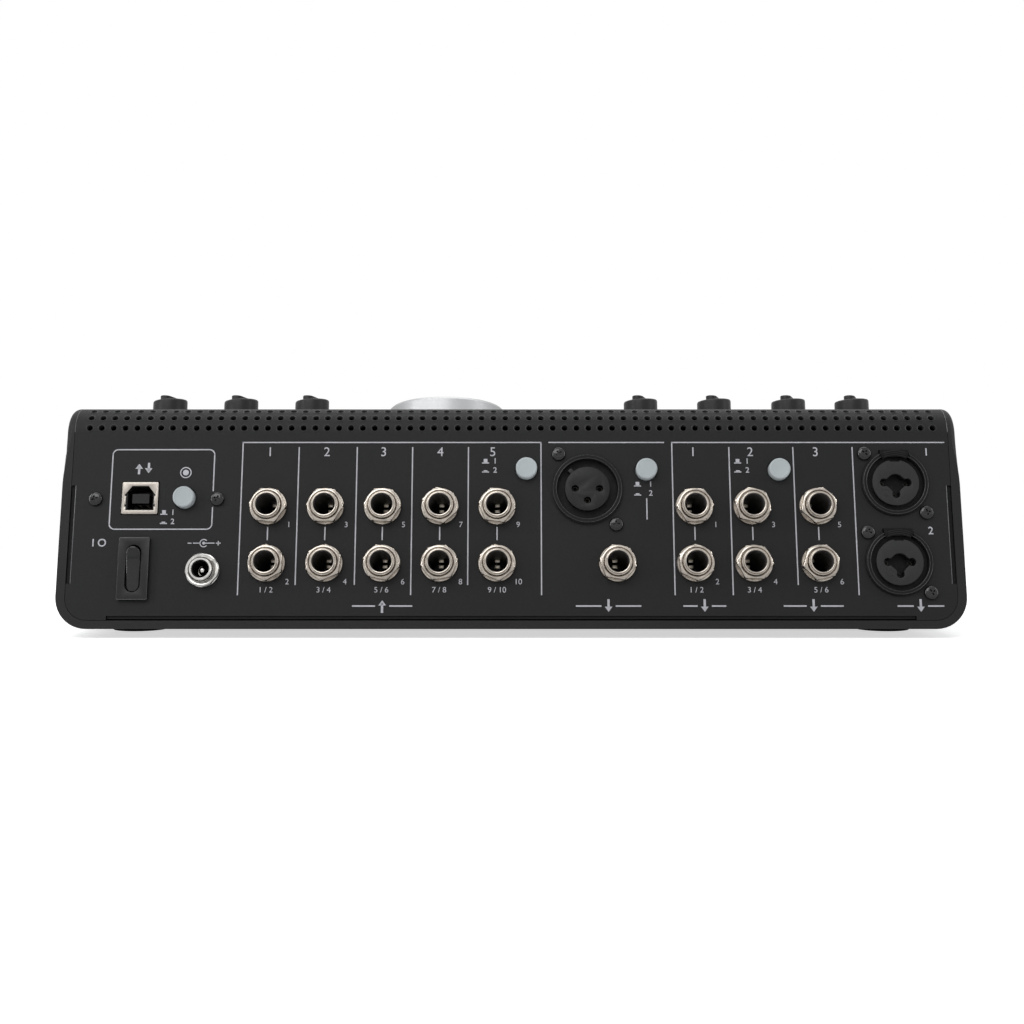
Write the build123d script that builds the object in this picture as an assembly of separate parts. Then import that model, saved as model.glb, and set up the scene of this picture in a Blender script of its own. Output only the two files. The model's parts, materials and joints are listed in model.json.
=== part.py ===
from build123d import *
import os
from math import cos, degrees, pi, radians, sin, sqrt, tan

# Desktop monitor controller: a wedge-shaped case, a moulded tray around one bent sheet cover.
# X runs to the right seen from the front, the front faces -Y, the rear +Y, Z is up. Millimetres.
# Places across the case are shares of inner_half, so the rows spread with the width.

# ---------------------------------------------------------------- case
case_width = 300.0
case_depth = 165.0          # along the tray floor
panel_rise = 76.9           # rear panel, from the tray's underside to the sharp rear-top corner
rear_lean = 13.0            # the rear panel leans forwards by this many degrees
top_slope = 12.0            # the top falls towards the front by this many degrees
bend_radius = 10.5          # outer radius of the rear-top bend
front_bend_radius = 7.0
sheet = 1.5                 # thickness of the bent cover
overshoot = 1.0             # how far a cut runs past the face it starts from
cheek_wall = 3.0
inner_half = case_width / 2 - cheek_wall
floor_wall = 2.7
tray_corner_radius = 10.6   # lower corners, seen from the rear
cheek_edge_round = 2.6      # rounding along the upper edges of the cheeks
round_runout = 60.0         # the rounding dies away down the rear edge along this radius
runout_turn = 30.0          # and over this many degrees of it
seam = 0.15                 # joint line between tray and cover
side_notch_depth = 1.3      # long shallow cut-backs along the cover's edges
side_notch_low = 15.0
side_notch_high = 48.2
floor_notch_depth = 1.4
floor_notch_end = 14.0      # from the notch's end to the cheek

# ---------------------------------------------------------------- feet and case fixings
foot_radius = 10.0
foot_height = 3.0
foot_edge = 0.8
foot_side_inset = 21.0
foot_rear_inset = 30.0
foot_front_inset = 22.0
bracket_width = 12.0
bracket_reach = 11.0
bracket_rise = 5.5          # height of the upright, clear of the lowest sockets
bracket_thick = 1.5
bracket_side_gap = 52.0     # from the cheek to the bracket's middle
screw_head_radius = 2.5
screw_head_height = 1.3
screw_shank_radius = 1.5
screw_clearance = 0.15      # radial gap between a screw and what it passes
screw_crown = ((1.0, 0.45), (0.78, 0.85), (0.45, 1.0))  # rounded head, as shares of its radius and height
tray_screw_length = 6.0

# ---------------------------------------------------------------- vents
vent_radius = 1.0
vent_pitch = 4.0
vent_margin = 5.0           # from the cheek to the outermost holes
vent_rows = 3
vent_first_angle = 8.0      # from the rear panel's normal, about the bend's axis

# ---------------------------------------------------------------- quarter-inch sockets
# u runs to the right seen from behind, v up the rear panel from the tray's underside
socket_pitch = 0.1296 * inner_half
output_columns = 5
output_first_u = -0.5503 * inner_half
source_columns_u = (0.4150 * inner_half, 0.5456 * inner_half, 0.6946 * inner_half)
footswitch_u = 0.2395 * inner_half
socket_rows_v = (41.0, 21.8)
socket_width = 15.4
socket_height = 16.6
socket_depth = 24.0
socket_bore_radius = 3.6
socket_bore_depth = 27.0
bush_radius = 4.6
bush_shoulder = 3.3         # the thread ends here, and a narrower collar stands on it
bush_collar_radius = 4.15
bush_collar_edge = 0.2
bush_reach = 4.0
nut_flange_radius = 6.3
nut_flange_height = 0.9
nut_across_flats = 11.2
nut_height = 2.9
nut_chamfer = 0.95
thread_clearance = 0.1
nut_turn_step = 23.0        # each nut stops at another angle

# ---------------------------------------------------------------- microphone socket
mic_u = 0.1728 * inner_half
mic_v = 46.9
mic_ring_radius = 11.9
mic_ring_bore = 10.3
mic_ring_height = 1.4
ring_edge = 0.5             # bevel on the rims of all round sockets
mic_tube_radius = 11.3
mic_groove_depth = 17.0
mic_insert_radius = 7.6
mic_insert_recess = 0.8
mic_body_width = 24.0
mic_body_height = 29.0
mic_hole_radius = 1.2
mic_hole_circle = 4.05
mic_hole_depth = 12.0
key_radius = 1.1
mic_screw_du = 9.5
mic_screw_dv = 12.0

# ---------------------------------------------------------------- combination sockets
combo_u = 0.8728 * inner_half
combo_rows_v = (49.0, 22.1)
combo_ring_radius = 11.2
combo_ring_bore = 9.7
combo_ring_height = 1.3
combo_tube_radius = 10.7
combo_groove_depth = 17.0
combo_insert_radius = 7.95
combo_insert_recess = 0.6
combo_body_width = 24.0
combo_body_height = 24.5
combo_bore_radius = 3.3
combo_bore_depth = 22.0
combo_hole_radius = 1.2
combo_hole_circle = 4.3
combo_slot_width = 2.2
combo_hole_depth = 12.0
combo_screw_du = 9.9
combo_screw_dv = 10.1
latch_width = 9.6
latch_height = 2.4
latch_proud = 0.9
latch_bite = 0.95           # the tab's lower side lies this far inside the ring's bore
latch_gap = 0.25
latch_travel = 1.5
latch_depth = 5.0
panel_screw_radius = 2.3

# ---------------------------------------------------------------- USB socket
usb_u = -0.8415 * inner_half
usb_v = 43.8
usb_width = 12.04
usb_height = 10.9
usb_wall = 0.6
usb_face = 0.5              # thickness of the shell's face
usb_proud = 0.5
usb_depth = 16.0
usb_opening_width = 9.3
usb_opening_height = 8.2
usb_opening_chamfer = 1.9
usb_mouth_width = 8.5
usb_mouth_height = 7.8
usb_mouth_chamfer = 1.6
usb_mouth_depth = 9.0
usb_tongue_width = 5.6
usb_tongue_height = 3.2
usb_tongue_length = 8.4

# ---------------------------------------------------------------- power inlet and rocker
dc_u = -0.6932 * inner_half
dc_v = 19.4
dc_nut_radius = 5.55
dc_nut_height = 2.2
dc_barrel_radius = 4.1
dc_barrel_reach = 4.3
dc_bore_radius = 2.9
dc_bore_depth = 11.4
dc_body_width = 10.0
dc_pin_radius = 1.0
dc_pin_length = 10.2
rocker_u = -0.8476 * inner_half
rocker_v = 19.9
bezel_width = 9.9
bezel_height = 20.8
bezel_proud = 1.5
bezel_body_width = 8.4
bezel_body_height = 18.8
bezel_body_depth = 15.0
bezel_well_width = 5.4
bezel_well_height = 16.0
bezel_well_depth = 6.0
rocker_width = 4.6
rocker_length = 15.0
rocker_thickness = 3.2
rocker_hollow = 0.5
rocker_tilt = 8.0           # each way from the middle position
rocker_pin_radius = 0.8
rocker_pin_reach = 1.2
rocker_axis_w = -0.6
running_clearance = 0.05

# ---------------------------------------------------------------- rear push buttons
button_places = (
    ("record_source_button", -0.7408 * inner_half, 43.9),
    ("output_level_button", 0.0347 * inner_half, 53.8),
    ("talkback_source_button", 0.3075 * inner_half, 53.5),
    ("input_level_button", 0.6095 * inner_half, 53.5),
)
button_radius = 3.55
button_reach = 3.2
button_edge = 0.5
button_travel = 2.5
button_tail = 6.0
button_gap = 0.35
plunger_radius = 1.4
plunger_length = 7.0
switch_size = 8.0
switch_front = 9.5          # depth of the switch body's front face behind the panel
chassis_screws_u = (-0.9429 * inner_half, -0.6667 * inner_half)
chassis_screw_v = 43.5

# ---------------------------------------------------------------- boards
board_thickness = 1.6
rear_board_side_gap = 6.0
rear_board_low = 10.5
rear_board_high = 62.0
rear_post_radius = 2.6
control_board_gap = 8.5     # under the top panel's inner face
control_board_side_gap = 9.0
control_board_near = 17.0   # distance along the top from the rear corner
control_board_far = 133.0
post_radius = 2.5
control_posts = (           # x, and distance along the top
    (-0.9116 * inner_half, 44.0),
    (-0.9116 * inner_half, 128.0),
    (0.0, 22.0),
    (0.0204 * inner_half, 128.0),
    (0.9116 * inner_half, 44.0),
    (0.9116 * inner_half, 128.0),
)

# ---------------------------------------------------------------- knobs on the top
knob_along = 28.0           # from the sharp rear corner, down the slope
column_1 = -0.8293 * inner_half
column_2 = -0.6748 * inner_half
column_3 = -0.4939 * inner_half
column_4 = -0.3150 * inner_half
column_5 = 0.4850 * inner_half
column_6 = 0.6578 * inner_half
column_7 = 0.8306 * inner_half
knobs = (
    ("input_gain_knob_1", column_1),
    ("input_gain_knob_2", column_2),
    ("cue_level_knob", column_3),
    ("talkback_level_knob", column_4),
    ("studio_level_knob", column_5),
    ("phones_level_knob_1", column_6),
    ("phones_level_knob_2", column_7),
)
knob_radius = 6.1
knob_top_radius = 5.7
knob_gap = 0.5
knob_skirt = 1.0
knob_skirt_radius = 6.35
knob_height = 7.4
knob_shoulder = 1.4
pointer_height = 9.1
pointer_width = 3.2
pointer_corner = 0.8
pointer_inset = 0.1         # the pointer bar ends this far inside the knob's edge
pointer_turn = 30.0         # the pointer rests at seven o'clock
knob_bore_depth = 3.5
shaft_radius = 3.0
shaft_flat = 1.2
pot_bush_radius = 3.5
pot_bush_height = 2.2
pot_size = 11.0
pot_height = 6.0
pot_floor = 1.0
panel_hole_gap = 0.2

volume_x = 0.1714 * inner_half
volume_along = 75.0
volume_radius = 23.0
volume_height = 16.6
volume_taper = 0.5
volume_edge = 0.9
volume_dish_radius = 18.5
volume_dish_depth = 0.8
volume_dimple_radius = 1.6
volume_dimple_depth = 0.6
volume_dimple_inset = 4.8
volume_top_wall = 3.0       # over the end of the shaft
volume_skirt_hollow = 3.0
volume_wall = 2.5

# ---------------------------------------------------------------- buttons, lamps and meter on the top
key_row_1 = 66.0
key_row_2 = 96.0
talkback_x = -0.7483 * inner_half
talkback_along = 102.0
key_places = (
    ("source_key_1", column_1, key_row_1),
    ("source_key_2", column_2, key_row_1),
    ("source_key_3", column_3, key_row_1),
    ("source_key_4", column_4, key_row_1),
    ("monitor_key_1", column_5, key_row_1),
    ("monitor_key_2", column_6, key_row_1),
    ("monitor_key_3", column_7, key_row_1),
    ("mono_key", column_5, key_row_2),
    ("dim_key", column_6, key_row_2),
    ("mute_key", column_7, key_row_2),
    ("talkback_key", talkback_x, talkback_along),
)
key_width = 12.0
key_length = 6.5
key_corner = 1.2
key_height = 2.2
key_tail = 3.0
key_travel = 1.2
key_gap = 0.3
key_edge = 0.4
key_stem_radius = 1.5
key_stem_bite = 1.0         # the stem stands this deep in its switch at rest
talkback_key_length = 12.0
tact_size = 6.2
tact_clear = 0.5            # between a fully pressed key and its switch
lamp_ahead = 9.0            # lamps sit this far behind their key's centre
lamp_radius = 1.5
lamp_proud = 0.4
meter_x = -0.0952 * inner_half
meter_along = 76.0
meter_width = 16.0
meter_length = 58.0
meter_margin = 4.0          # from the window's end to the middle of the first lamp
meter_corner = 1.5
meter_segments = 12
segment_width = 4.2
segment_length = 2.6
segment_drop = 1.4          # top of the lamps under the window's face
mic_grille_x = -0.4762 * inner_half
mic_grille_along = talkback_along
mic_grille_ring = 2.6
mic_grille_count = 6        # holes around the middle one
mic_grille_radius = 0.8
mic_capsule_radius = 4.9
mic_capsule_height = 4.5

# ---------------------------------------------------------------- headphone sockets in the front
phones_x = (column_6, column_7)
phones_z = 21.0
phones_board_half_width = 12.0
phones_board_low = 8.0
phones_board_high = 33.0

# ---------------------------------------------------------------- derived places
BASE = (Align.CENTER, Align.CENTER, Align.MIN)
lean_sin = sin(radians(rear_lean))
lean_cos = cos(radians(rear_lean))
slope_sin = sin(radians(top_slope))
slope_cos = cos(radians(top_slope))
corner_y = -panel_rise * lean_sin
corner_z = panel_rise * lean_cos
REAR = Plane(origin=(0, 0, 0), x_dir=(-1, 0, 0), z_dir=(0, lean_cos, lean_sin))
TOP = Plane(origin=(0, corner_y, corner_z), x_dir=(1, 0, 0), z_dir=(0, -slope_sin, slope_cos))
FRONT = Plane(origin=(0, -case_depth, 0), x_dir=(1, 0, 0), z_dir=(0, -1, 0))
bend_turn = 90.0 - rear_lean + top_slope
bend_setback = bend_radius * tan(radians(bend_turn / 2))

NODES = {}


def rear(u, v, turn=0.0):
    """A place on the rear panel's outer face, with its third axis pointing out of it."""
    return REAR * Pos(u, v, 0) * Rot(0, 0, turn)


def top(x, along, turn=0.0):
    """A place on the top panel's outer face, at a distance down the slope from the rear corner."""
    return TOP * Pos(x, -along, 0) * Rot(0, 0, turn)


def front(x, z):
    """A place on the front panel's outer face."""
    return FRONT * Pos(x, z, 0)


def rod(place, radius, low, high):
    """A round bar between two heights over the place."""
    return place * Pos(0, 0, low) * Cylinder(radius, high - low, align=BASE)


def block(place, width, height, low, high):
    """A square-edged bar between two heights over the place."""
    return place * Pos(0, 0, low) * Box(width, height, high - low, align=BASE)


def rounded(place, width, height, corner, low, high):
    """A bar with rounded upright edges between two heights over the place."""
    outline = RectangleRounded(width, height, corner)
    return place * Pos(0, 0, low) * extrude(outline, high - low)


def turned(place, points):
    """A turned part from its half outline, given as radius and height over the place."""
    outline = Plane.XZ * make_face(Polyline(*points, close=True))
    return place * revolve(outline, Axis.Z)


def side_outline(inset, low, bend, front_bend):
    """The case's outline seen from the side, moved inwards by inset and cut at height low."""
    rear_low_y = -inset / lean_cos - low * lean_sin / lean_cos
    top_base = corner_z - corner_y * slope_sin / slope_cos - inset / slope_cos
    meet_y = -(inset / lean_cos + top_base * lean_sin / lean_cos)
    meet_y /= 1 + lean_sin / lean_cos * slope_sin / slope_cos
    meet_z = top_base + meet_y * slope_sin / slope_cos
    front_y = -case_depth + inset
    front_z = top_base + front_y * slope_sin / slope_cos
    corners = [(rear_low_y, low), (meet_y, meet_z), (front_y, front_z), (front_y, low)]
    path = FilletPolyline(*corners, radius=[0, bend, front_bend, 0], close=True)
    return Plane.YZ * make_face(path)


def across(outline, half_width):
    """A bar of the given side outline, from one side of the case to the other."""
    return extrude(outline, half_width, both=True)


def channel(half_width, underside, corner, height):
    """The solid space inside a U-shaped section that runs from front to rear."""
    points = [(-half_width, height), (-half_width, underside), (half_width, underside), (half_width, height)]
    path = FilletPolyline(*points, radius=[0, corner, corner, 0], close=True)
    section = Plane.XZ.offset(-case_depth) * make_face(path)
    return extrude(section, 3 * case_depth)


def add(name, *solids):
    """Keep one sub-part's solids under its name."""
    NODES[name] = [s.solid() for s in solids]


# ---------------------------------------------------------------- where things stand
def output_places():
    """Two rows of output sockets."""
    columns = [output_first_u + i * socket_pitch for i in range(output_columns)]
    return [(u, v) for v in socket_rows_v for u in columns]


def input_places():
    """Two rows of source sockets and the single footswitch socket."""
    places = [(u, v) for v in socket_rows_v for u in source_columns_u]
    return places + [(footswitch_u, socket_rows_v[1])]


def mic_screw_places():
    """Two screws on one diagonal of the microphone socket."""
    return [(mic_u - mic_screw_du, mic_v + mic_screw_dv), (mic_u + mic_screw_du, mic_v - mic_screw_dv)]


def combo_screw_places():
    """Two screws on one diagonal of each combination socket."""
    places = []
    for v in combo_rows_v:
        places.append((combo_u - combo_screw_du, v + combo_screw_dv))
        places.append((combo_u + combo_screw_du, v - combo_screw_dv))
    return places


def key_length_of(name):
    """The talkback key is square, the others are flat bars."""
    return talkback_key_length if name == "talkback_key" else key_length


def lamp_places():
    """One status lamp behind each key."""
    places = []
    for name, x, along in key_places:
        longer = (key_length_of(name) - key_length) / 2
        places.append((x, along - lamp_ahead - longer))
    return places


# ---------------------------------------------------------------- case pieces
def make_tray():
    """Floor and cheeks in one moulding, cut to the wedge and rounded along the cheeks' upper edges."""
    height = 2 * panel_rise
    shell = channel(case_width / 2, 0, tray_corner_radius, height)
    shell -= channel(inner_half, floor_wall, tray_corner_radius - cheek_wall, height)
    wedge = across(side_outline(0, 0, bend_radius, front_bend_radius), case_width)
    shell &= wedge
    return shell & rounded_wedge()


def rounded_wedge():
    """The wedge with rounded side edges along its top; its rear curves away so the rounding dies out."""
    start = panel_rise - bend_setback
    top_start = (corner_y - bend_setback * slope_cos, corner_z - bend_setback * slope_sin)
    mid_angle = radians((rear_lean + 90.0 + top_slope) / 2)
    centre_y = -start * lean_sin - bend_radius * lean_cos
    centre_z = start * lean_cos - bend_radius * lean_sin
    bend_mid = (centre_y + bend_radius * cos(mid_angle), centre_z + bend_radius * sin(mid_angle))
    bend_end = (centre_y + bend_radius * lean_cos, centre_z + bend_radius * lean_sin)
    away = round_runout
    away_centre = (bend_end[0] + away * lean_cos, bend_end[1] + away * lean_sin)
    turn_mid = radians(180.0 + rear_lean + runout_turn / 2)
    turn_end = radians(180.0 + rear_lean + runout_turn)
    away_mid = (away_centre[0] + away * cos(turn_mid), away_centre[1] + away * sin(turn_mid))
    away_end = (away_centre[0] + away * cos(turn_end), away_centre[1] + away * sin(turn_end))
    front_y = -case_depth
    front_z = corner_z + (front_y - corner_y) * slope_sin / slope_cos
    front_setback = front_bend_radius * tan(radians((90.0 - top_slope) / 2))
    front_top = (front_y + front_setback * slope_cos, front_z + front_setback * slope_sin)
    front_low = (front_y, front_z - front_setback)
    front_centre = (front_y + front_bend_radius, front_z - front_setback)
    front_angle = radians((90.0 + top_slope + 180.0) / 2)
    front_mid = (
        front_centre[0] + front_bend_radius * cos(front_angle),
        front_centre[1] + front_bend_radius * sin(front_angle),
    )
    lower = -case_depth
    line = (
        ThreePointArc(bend_end, bend_mid, top_start)
        + Line(top_start, front_top)
        + ThreePointArc(front_top, front_mid, front_low)
        + Line(front_low, (front_y, lower))
        + Line((front_y, lower), (away_end[0] + case_depth, lower))
        + Line((away_end[0] + case_depth, lower), away_end)
        + ThreePointArc(away_end, away_mid, bend_end)
    )
    body = extrude(Plane.YZ * make_face(line), case_width / 2, both=True)
    sides = [f for f in body.faces() if abs(f.normal_at().X) > 0.99]
    edges = []
    for face in sides:
        for edge in face.edges():
            middle = edge.center()
            if middle.Z > front_low[1] and middle.Y < bend_end[0] + seam:
                edges.append(edge)
    return fillet(edges, cheek_edge_round)


def make_cover():
    """Rear panel, vented bend, top and front panel in one bent sheet, with every cut-out."""
    outer = side_outline(0, 0, bend_radius, front_bend_radius)
    inner = side_outline(sheet, -floor_wall, bend_radius - sheet, front_bend_radius - sheet)
    half = inner_half - seam
    body = across(outer - inner, half)
    body &= channel(half, floor_wall + seam, tray_corner_radius - cheek_wall - seam, 2 * panel_rise)
    body -= notches()
    body -= rear_cutouts()
    body -= top_cutouts()
    body -= front_cutouts()
    return body - vents()


def notches():
    """Shallow cut-backs along the sides and the foot of the rear panel."""
    tools = []
    middle = (side_notch_low + side_notch_high) / 2
    length = side_notch_high - side_notch_low
    through = 3 * sheet
    edge = inner_half - seam
    for side in (-1, 1):
        tools.append(block(rear(side * edge, middle), 2 * side_notch_depth, length, -through, through))
    lowest = (floor_wall + seam) / lean_cos
    tools.append(
        block(rear(0, lowest), 2 * (inner_half - floor_notch_end), 2 * floor_notch_depth, -through, through)
    )
    return tools


def rear_cutouts():
    """Holes through the rear panel, cut with the sizes of what passes them."""
    deep = 3 * sheet
    holes = []
    for u, v in output_places() + input_places():
        holes.append(rod(rear(u, v), bush_radius + thread_clearance, -deep, deep))
    holes.append(rod(rear(mic_u, mic_v), mic_tube_radius + panel_hole_gap, -deep, deep))
    for v in combo_rows_v:
        holes.append(rod(rear(combo_u, v), combo_tube_radius + panel_hole_gap, -deep, deep))
    slot_w = usb_width + 2 * panel_hole_gap
    slot_h = usb_height + 2 * panel_hole_gap
    holes.append(block(rear(usb_u, usb_v), slot_w, slot_h, -deep, deep))
    holes.append(rod(rear(dc_u, dc_v), dc_barrel_radius + panel_hole_gap, -deep, deep))
    holes += [latch_space(rear(combo_u, v)) for v in combo_rows_v]
    well_w = bezel_body_width + 2 * panel_hole_gap
    well_h = bezel_body_height + 2 * panel_hole_gap
    holes.append(block(rear(rocker_u, rocker_v), well_w, well_h, -deep, deep))
    for _, u, v in button_places:
        holes.append(rod(rear(u, v), button_radius + button_gap, -deep, deep))
    screws = [(u, chassis_screw_v) for u in chassis_screws_u] + mic_screw_places() + combo_screw_places()
    for u, v in screws:
        holes.append(rod(rear(u, v), screw_shank_radius + screw_clearance, -deep, deep))
    return holes


def top_cutouts():
    """Holes through the top panel for bushes, keys, lamps, meter and microphone."""
    deep = 3 * sheet
    holes = []
    for _, x in knobs:
        holes.append(rod(top(x, knob_along), pot_bush_radius + panel_hole_gap, -deep, deep))
    holes.append(rod(top(volume_x, volume_along), pot_bush_radius + panel_hole_gap, -deep, deep))
    for name, x, along in key_places:
        width = key_width + 2 * key_gap
        length = key_length_of(name) + 2 * key_gap
        holes.append(rounded(top(x, along), width, length, key_corner + key_gap, -deep, deep))
    for x, along in lamp_places():
        holes.append(rod(top(x, along), lamp_radius + panel_hole_gap, -deep, deep))
    window_w = meter_width + 2 * panel_hole_gap
    window_l = meter_length + 2 * panel_hole_gap
    place = top(meter_x, meter_along)
    holes.append(rounded(place, window_w, window_l, meter_corner + panel_hole_gap, -deep, deep))
    holes.append(rod(top(mic_grille_x, mic_grille_along), mic_grille_radius, -deep, deep))
    for i in range(mic_grille_count):
        angle = 2 * pi * i / mic_grille_count
        x = mic_grille_x + mic_grille_ring * cos(angle)
        along = mic_grille_along + mic_grille_ring * sin(angle)
        holes.append(rod(top(x, along), mic_grille_radius, -deep, deep))
    return holes


def front_cutouts():
    """Two headphone socket holes."""
    deep = 3 * sheet
    return [rod(front(x, phones_z), bush_radius + thread_clearance, -deep, deep) for x in phones_x]


def vents():
    """Rows of small holes square to the rear-top bend."""
    start = panel_rise - bend_setback
    step = degrees(vent_pitch / bend_radius)
    vent_columns = int(2 * (inner_half - vent_margin) / vent_pitch) + 1
    holes = []
    for row in range(vent_rows):
        tilt = vent_first_angle + row * step
        for column in range(vent_columns):
            u = (column - (vent_columns - 1) / 2) * vent_pitch
            axis = REAR * Pos(u, start, -bend_radius) * Rot(-tilt, 0, 0)
            holes.append(rod(axis, vent_radius, bend_radius - 2 * sheet, bend_radius + sheet))
    return holes


def foot_x():
    """Distance of the feet from the middle of the case."""
    return case_width / 2 - foot_side_inset


def make_feet():
    """Four round rubber feet under the tray."""
    half = (foot_radius, foot_height)
    outline = [(0, 0), (foot_radius - foot_edge, 0), (foot_radius, foot_edge), half, (0, foot_height)]
    feet = []
    for y in (-foot_rear_inset, -case_depth + foot_front_inset):
        for x in (-foot_x(), foot_x()):
            feet.append(turned(Pos(x, y, -foot_height), outline))
    return feet


def bracket_places():
    """Positions of the angle brackets, behind the rear panel and behind the front panel."""
    x = inner_half - bracket_side_gap
    return [(side * x, panel) for panel in ("rear", "front") for side in (-1, 1)]


def make_brackets():
    """Angle brackets that carry the cover on the tray's floor."""
    pieces = []
    for x, side in bracket_places():
        if side == "rear":
            lean = lean_sin / lean_cos
            face_y = -sheet / lean_cos - floor_wall * lean
            outward = -1
        else:
            lean = 0.0
            face_y = -case_depth + sheet
            outward = 1
        high = floor_wall + bracket_rise
        slide = -(high - floor_wall) * lean
        back = outward * bracket_thick
        inner = outward * bracket_reach
        rise = floor_wall + bracket_thick
        points = [
            (face_y, floor_wall),
            (face_y + slide, high),
            (face_y + slide + back, high),
            (face_y - (rise - floor_wall) * lean + back, rise),
            (face_y + inner, rise),
            (face_y + inner, floor_wall),
        ]
        plate = extrude(Plane.YZ * make_face(Polyline(*points, close=True)), bracket_width / 2, both=True)
        plate = Pos(x, 0, 0) * plate
        pieces.append(plate - rod(Pos(x, bracket_screw_y(side), 0), tray_hole_radius(), 0, 2 * rise))
    return pieces


def bracket_screw_y(side):
    """The tray screws pass the middle of each bracket's foot."""
    middle = (bracket_reach + bracket_thick) / 2
    if side == "rear":
        return -sheet / lean_cos - floor_wall * lean_sin / lean_cos - middle
    return -case_depth + sheet + middle


def tray_hole_radius():
    """Clearance hole for a tray screw."""
    return screw_shank_radius + screw_clearance


def tray_screw_holes():
    """Stepped holes in the tray's floor, so the heads lie below its face."""
    holes = []
    for x, side in bracket_places():
        place = Pos(x, bracket_screw_y(side), 0)
        holes.append(rod(place, tray_hole_radius(), -floor_wall, 2 * floor_wall))
        holes.append(rod(place, screw_head_radius + screw_clearance, -floor_wall, screw_head_height))
    return holes


def make_tray_screws():
    """Screws from below through the tray's floor into the brackets."""
    screws = []
    for x, side in bracket_places():
        place = Pos(x, bracket_screw_y(side), 0)
        head = rod(place, screw_head_radius, 0, screw_head_height)
        screws.append(head + rod(place, screw_shank_radius, 0, tray_screw_length))
    return screws


def panel_screw(place, head_radius, length):
    """Pan-head screw with a rounded head, seated on the panel."""
    outline = [(0, -length), (screw_shank_radius, -length), (screw_shank_radius, 0), (head_radius, 0)]
    outline += [(r * head_radius, h * screw_head_height) for r, h in screw_crown]
    outline.append((0, screw_head_height))
    return turned(place, outline)


def socket_ring(place, radius, height):
    """Rim of a round socket, bevelled along its outer edge."""
    outline = [(0, 0), (radius, 0), (radius, height - ring_edge), (radius - ring_edge, height), (0, height)]
    return turned(place, outline)


# ---------------------------------------------------------------- quarter-inch sockets
def socket_body(place):
    """Moulded socket body with the blind end of the bore."""
    body = block(place, socket_width, socket_height, -sheet - socket_depth, -sheet)
    return body - rod(place, socket_bore_radius, bush_reach - socket_bore_depth, 0)


def socket_bush(place):
    """Metal bush through the panel, its thread shown as a plain cylinder under a narrower collar."""
    outline = [
        (socket_bore_radius, -sheet),
        (bush_radius, -sheet),
        (bush_radius, bush_shoulder),
        (bush_collar_radius, bush_shoulder),
        (bush_collar_radius, bush_reach - bush_collar_edge),
        (bush_collar_radius - bush_collar_edge, bush_reach),
        (socket_bore_radius, bush_reach),
    ]
    return turned(place, outline)


def socket_nut(place):
    """Flanged hex nut, its corners turned down at the top."""
    corner = nut_across_flats / sqrt(3)
    hexagon = place * extrude(RegularPolygon(corner, 6), nut_height)
    bevel = [(corner, nut_height - nut_chamfer), (corner - nut_chamfer, nut_height)]
    crown = turned(place, [(0, 0), (corner, 0)] + bevel + [(0, nut_height)])
    nut = (hexagon & crown) + rod(place, nut_flange_radius, 0, nut_flange_height)
    return nut - rod(place, bush_radius + thread_clearance, -overshoot, nut_height + overshoot)


# ---------------------------------------------------------------- round multi-pin sockets
def make_mic_shell():
    """Ring, tube and square body around a deep ring-shaped groove."""
    place = rear(mic_u, mic_v)
    back = -sheet - socket_depth
    shell = block(place, mic_body_width, mic_body_height, back, -sheet)
    shell += rod(place, mic_tube_radius, -sheet, 0)
    shell += socket_ring(place, mic_ring_radius, mic_ring_height)
    return shell - rod(place, mic_ring_bore, -mic_groove_depth, mic_ring_height + overshoot)


def make_mic_insert():
    """Round insert with three contact holes and a key beside the groove."""
    place = rear(mic_u, mic_v)
    insert = rod(place, mic_insert_radius, -mic_groove_depth, -mic_insert_recess)
    side = mic_insert_radius * cos(pi / 4)
    insert += rod(place * Pos(-side, side, 0), key_radius, -mic_groove_depth, -mic_insert_recess)
    for angle in (0, 180, 270):
        u = mic_hole_circle * cos(radians(angle))
        v = mic_hole_circle * sin(radians(angle))
        hole_low = -mic_insert_recess - mic_hole_depth
        insert -= rod(place * Pos(u, v, 0), mic_hole_radius, hole_low, overshoot)
    return insert


def combo_shell(place):
    """Ring with a flat gap for the latch, tube and body around the groove."""
    back = -sheet - socket_depth
    shell = block(place, combo_body_width, combo_body_height, back, -sheet)
    shell += rod(place, combo_tube_radius, -sheet, 0)
    shell += socket_ring(place, combo_ring_radius, combo_ring_height)
    shell -= rod(place, combo_ring_bore, -combo_groove_depth, combo_ring_height + overshoot)
    return shell - latch_space(place)


def latch_centre():
    """Height of the latch tab's centre over the socket's centre."""
    return combo_ring_bore - latch_bite + latch_height / 2


def latch_space(place):
    """Pocket in the ring and body that the latch tab slides in."""
    width = latch_width + 2 * latch_gap
    height = latch_height + 2 * latch_gap
    depth = latch_depth + latch_travel + latch_gap
    return block(place * Pos(0, latch_centre(), 0), width, height, -depth, combo_ring_height + overshoot)


def combo_latch(place):
    """Sprung release tab."""
    tab_place = place * Pos(0, latch_centre(), 0)
    return block(tab_place, latch_width, latch_height, -latch_depth, latch_proud)


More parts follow.
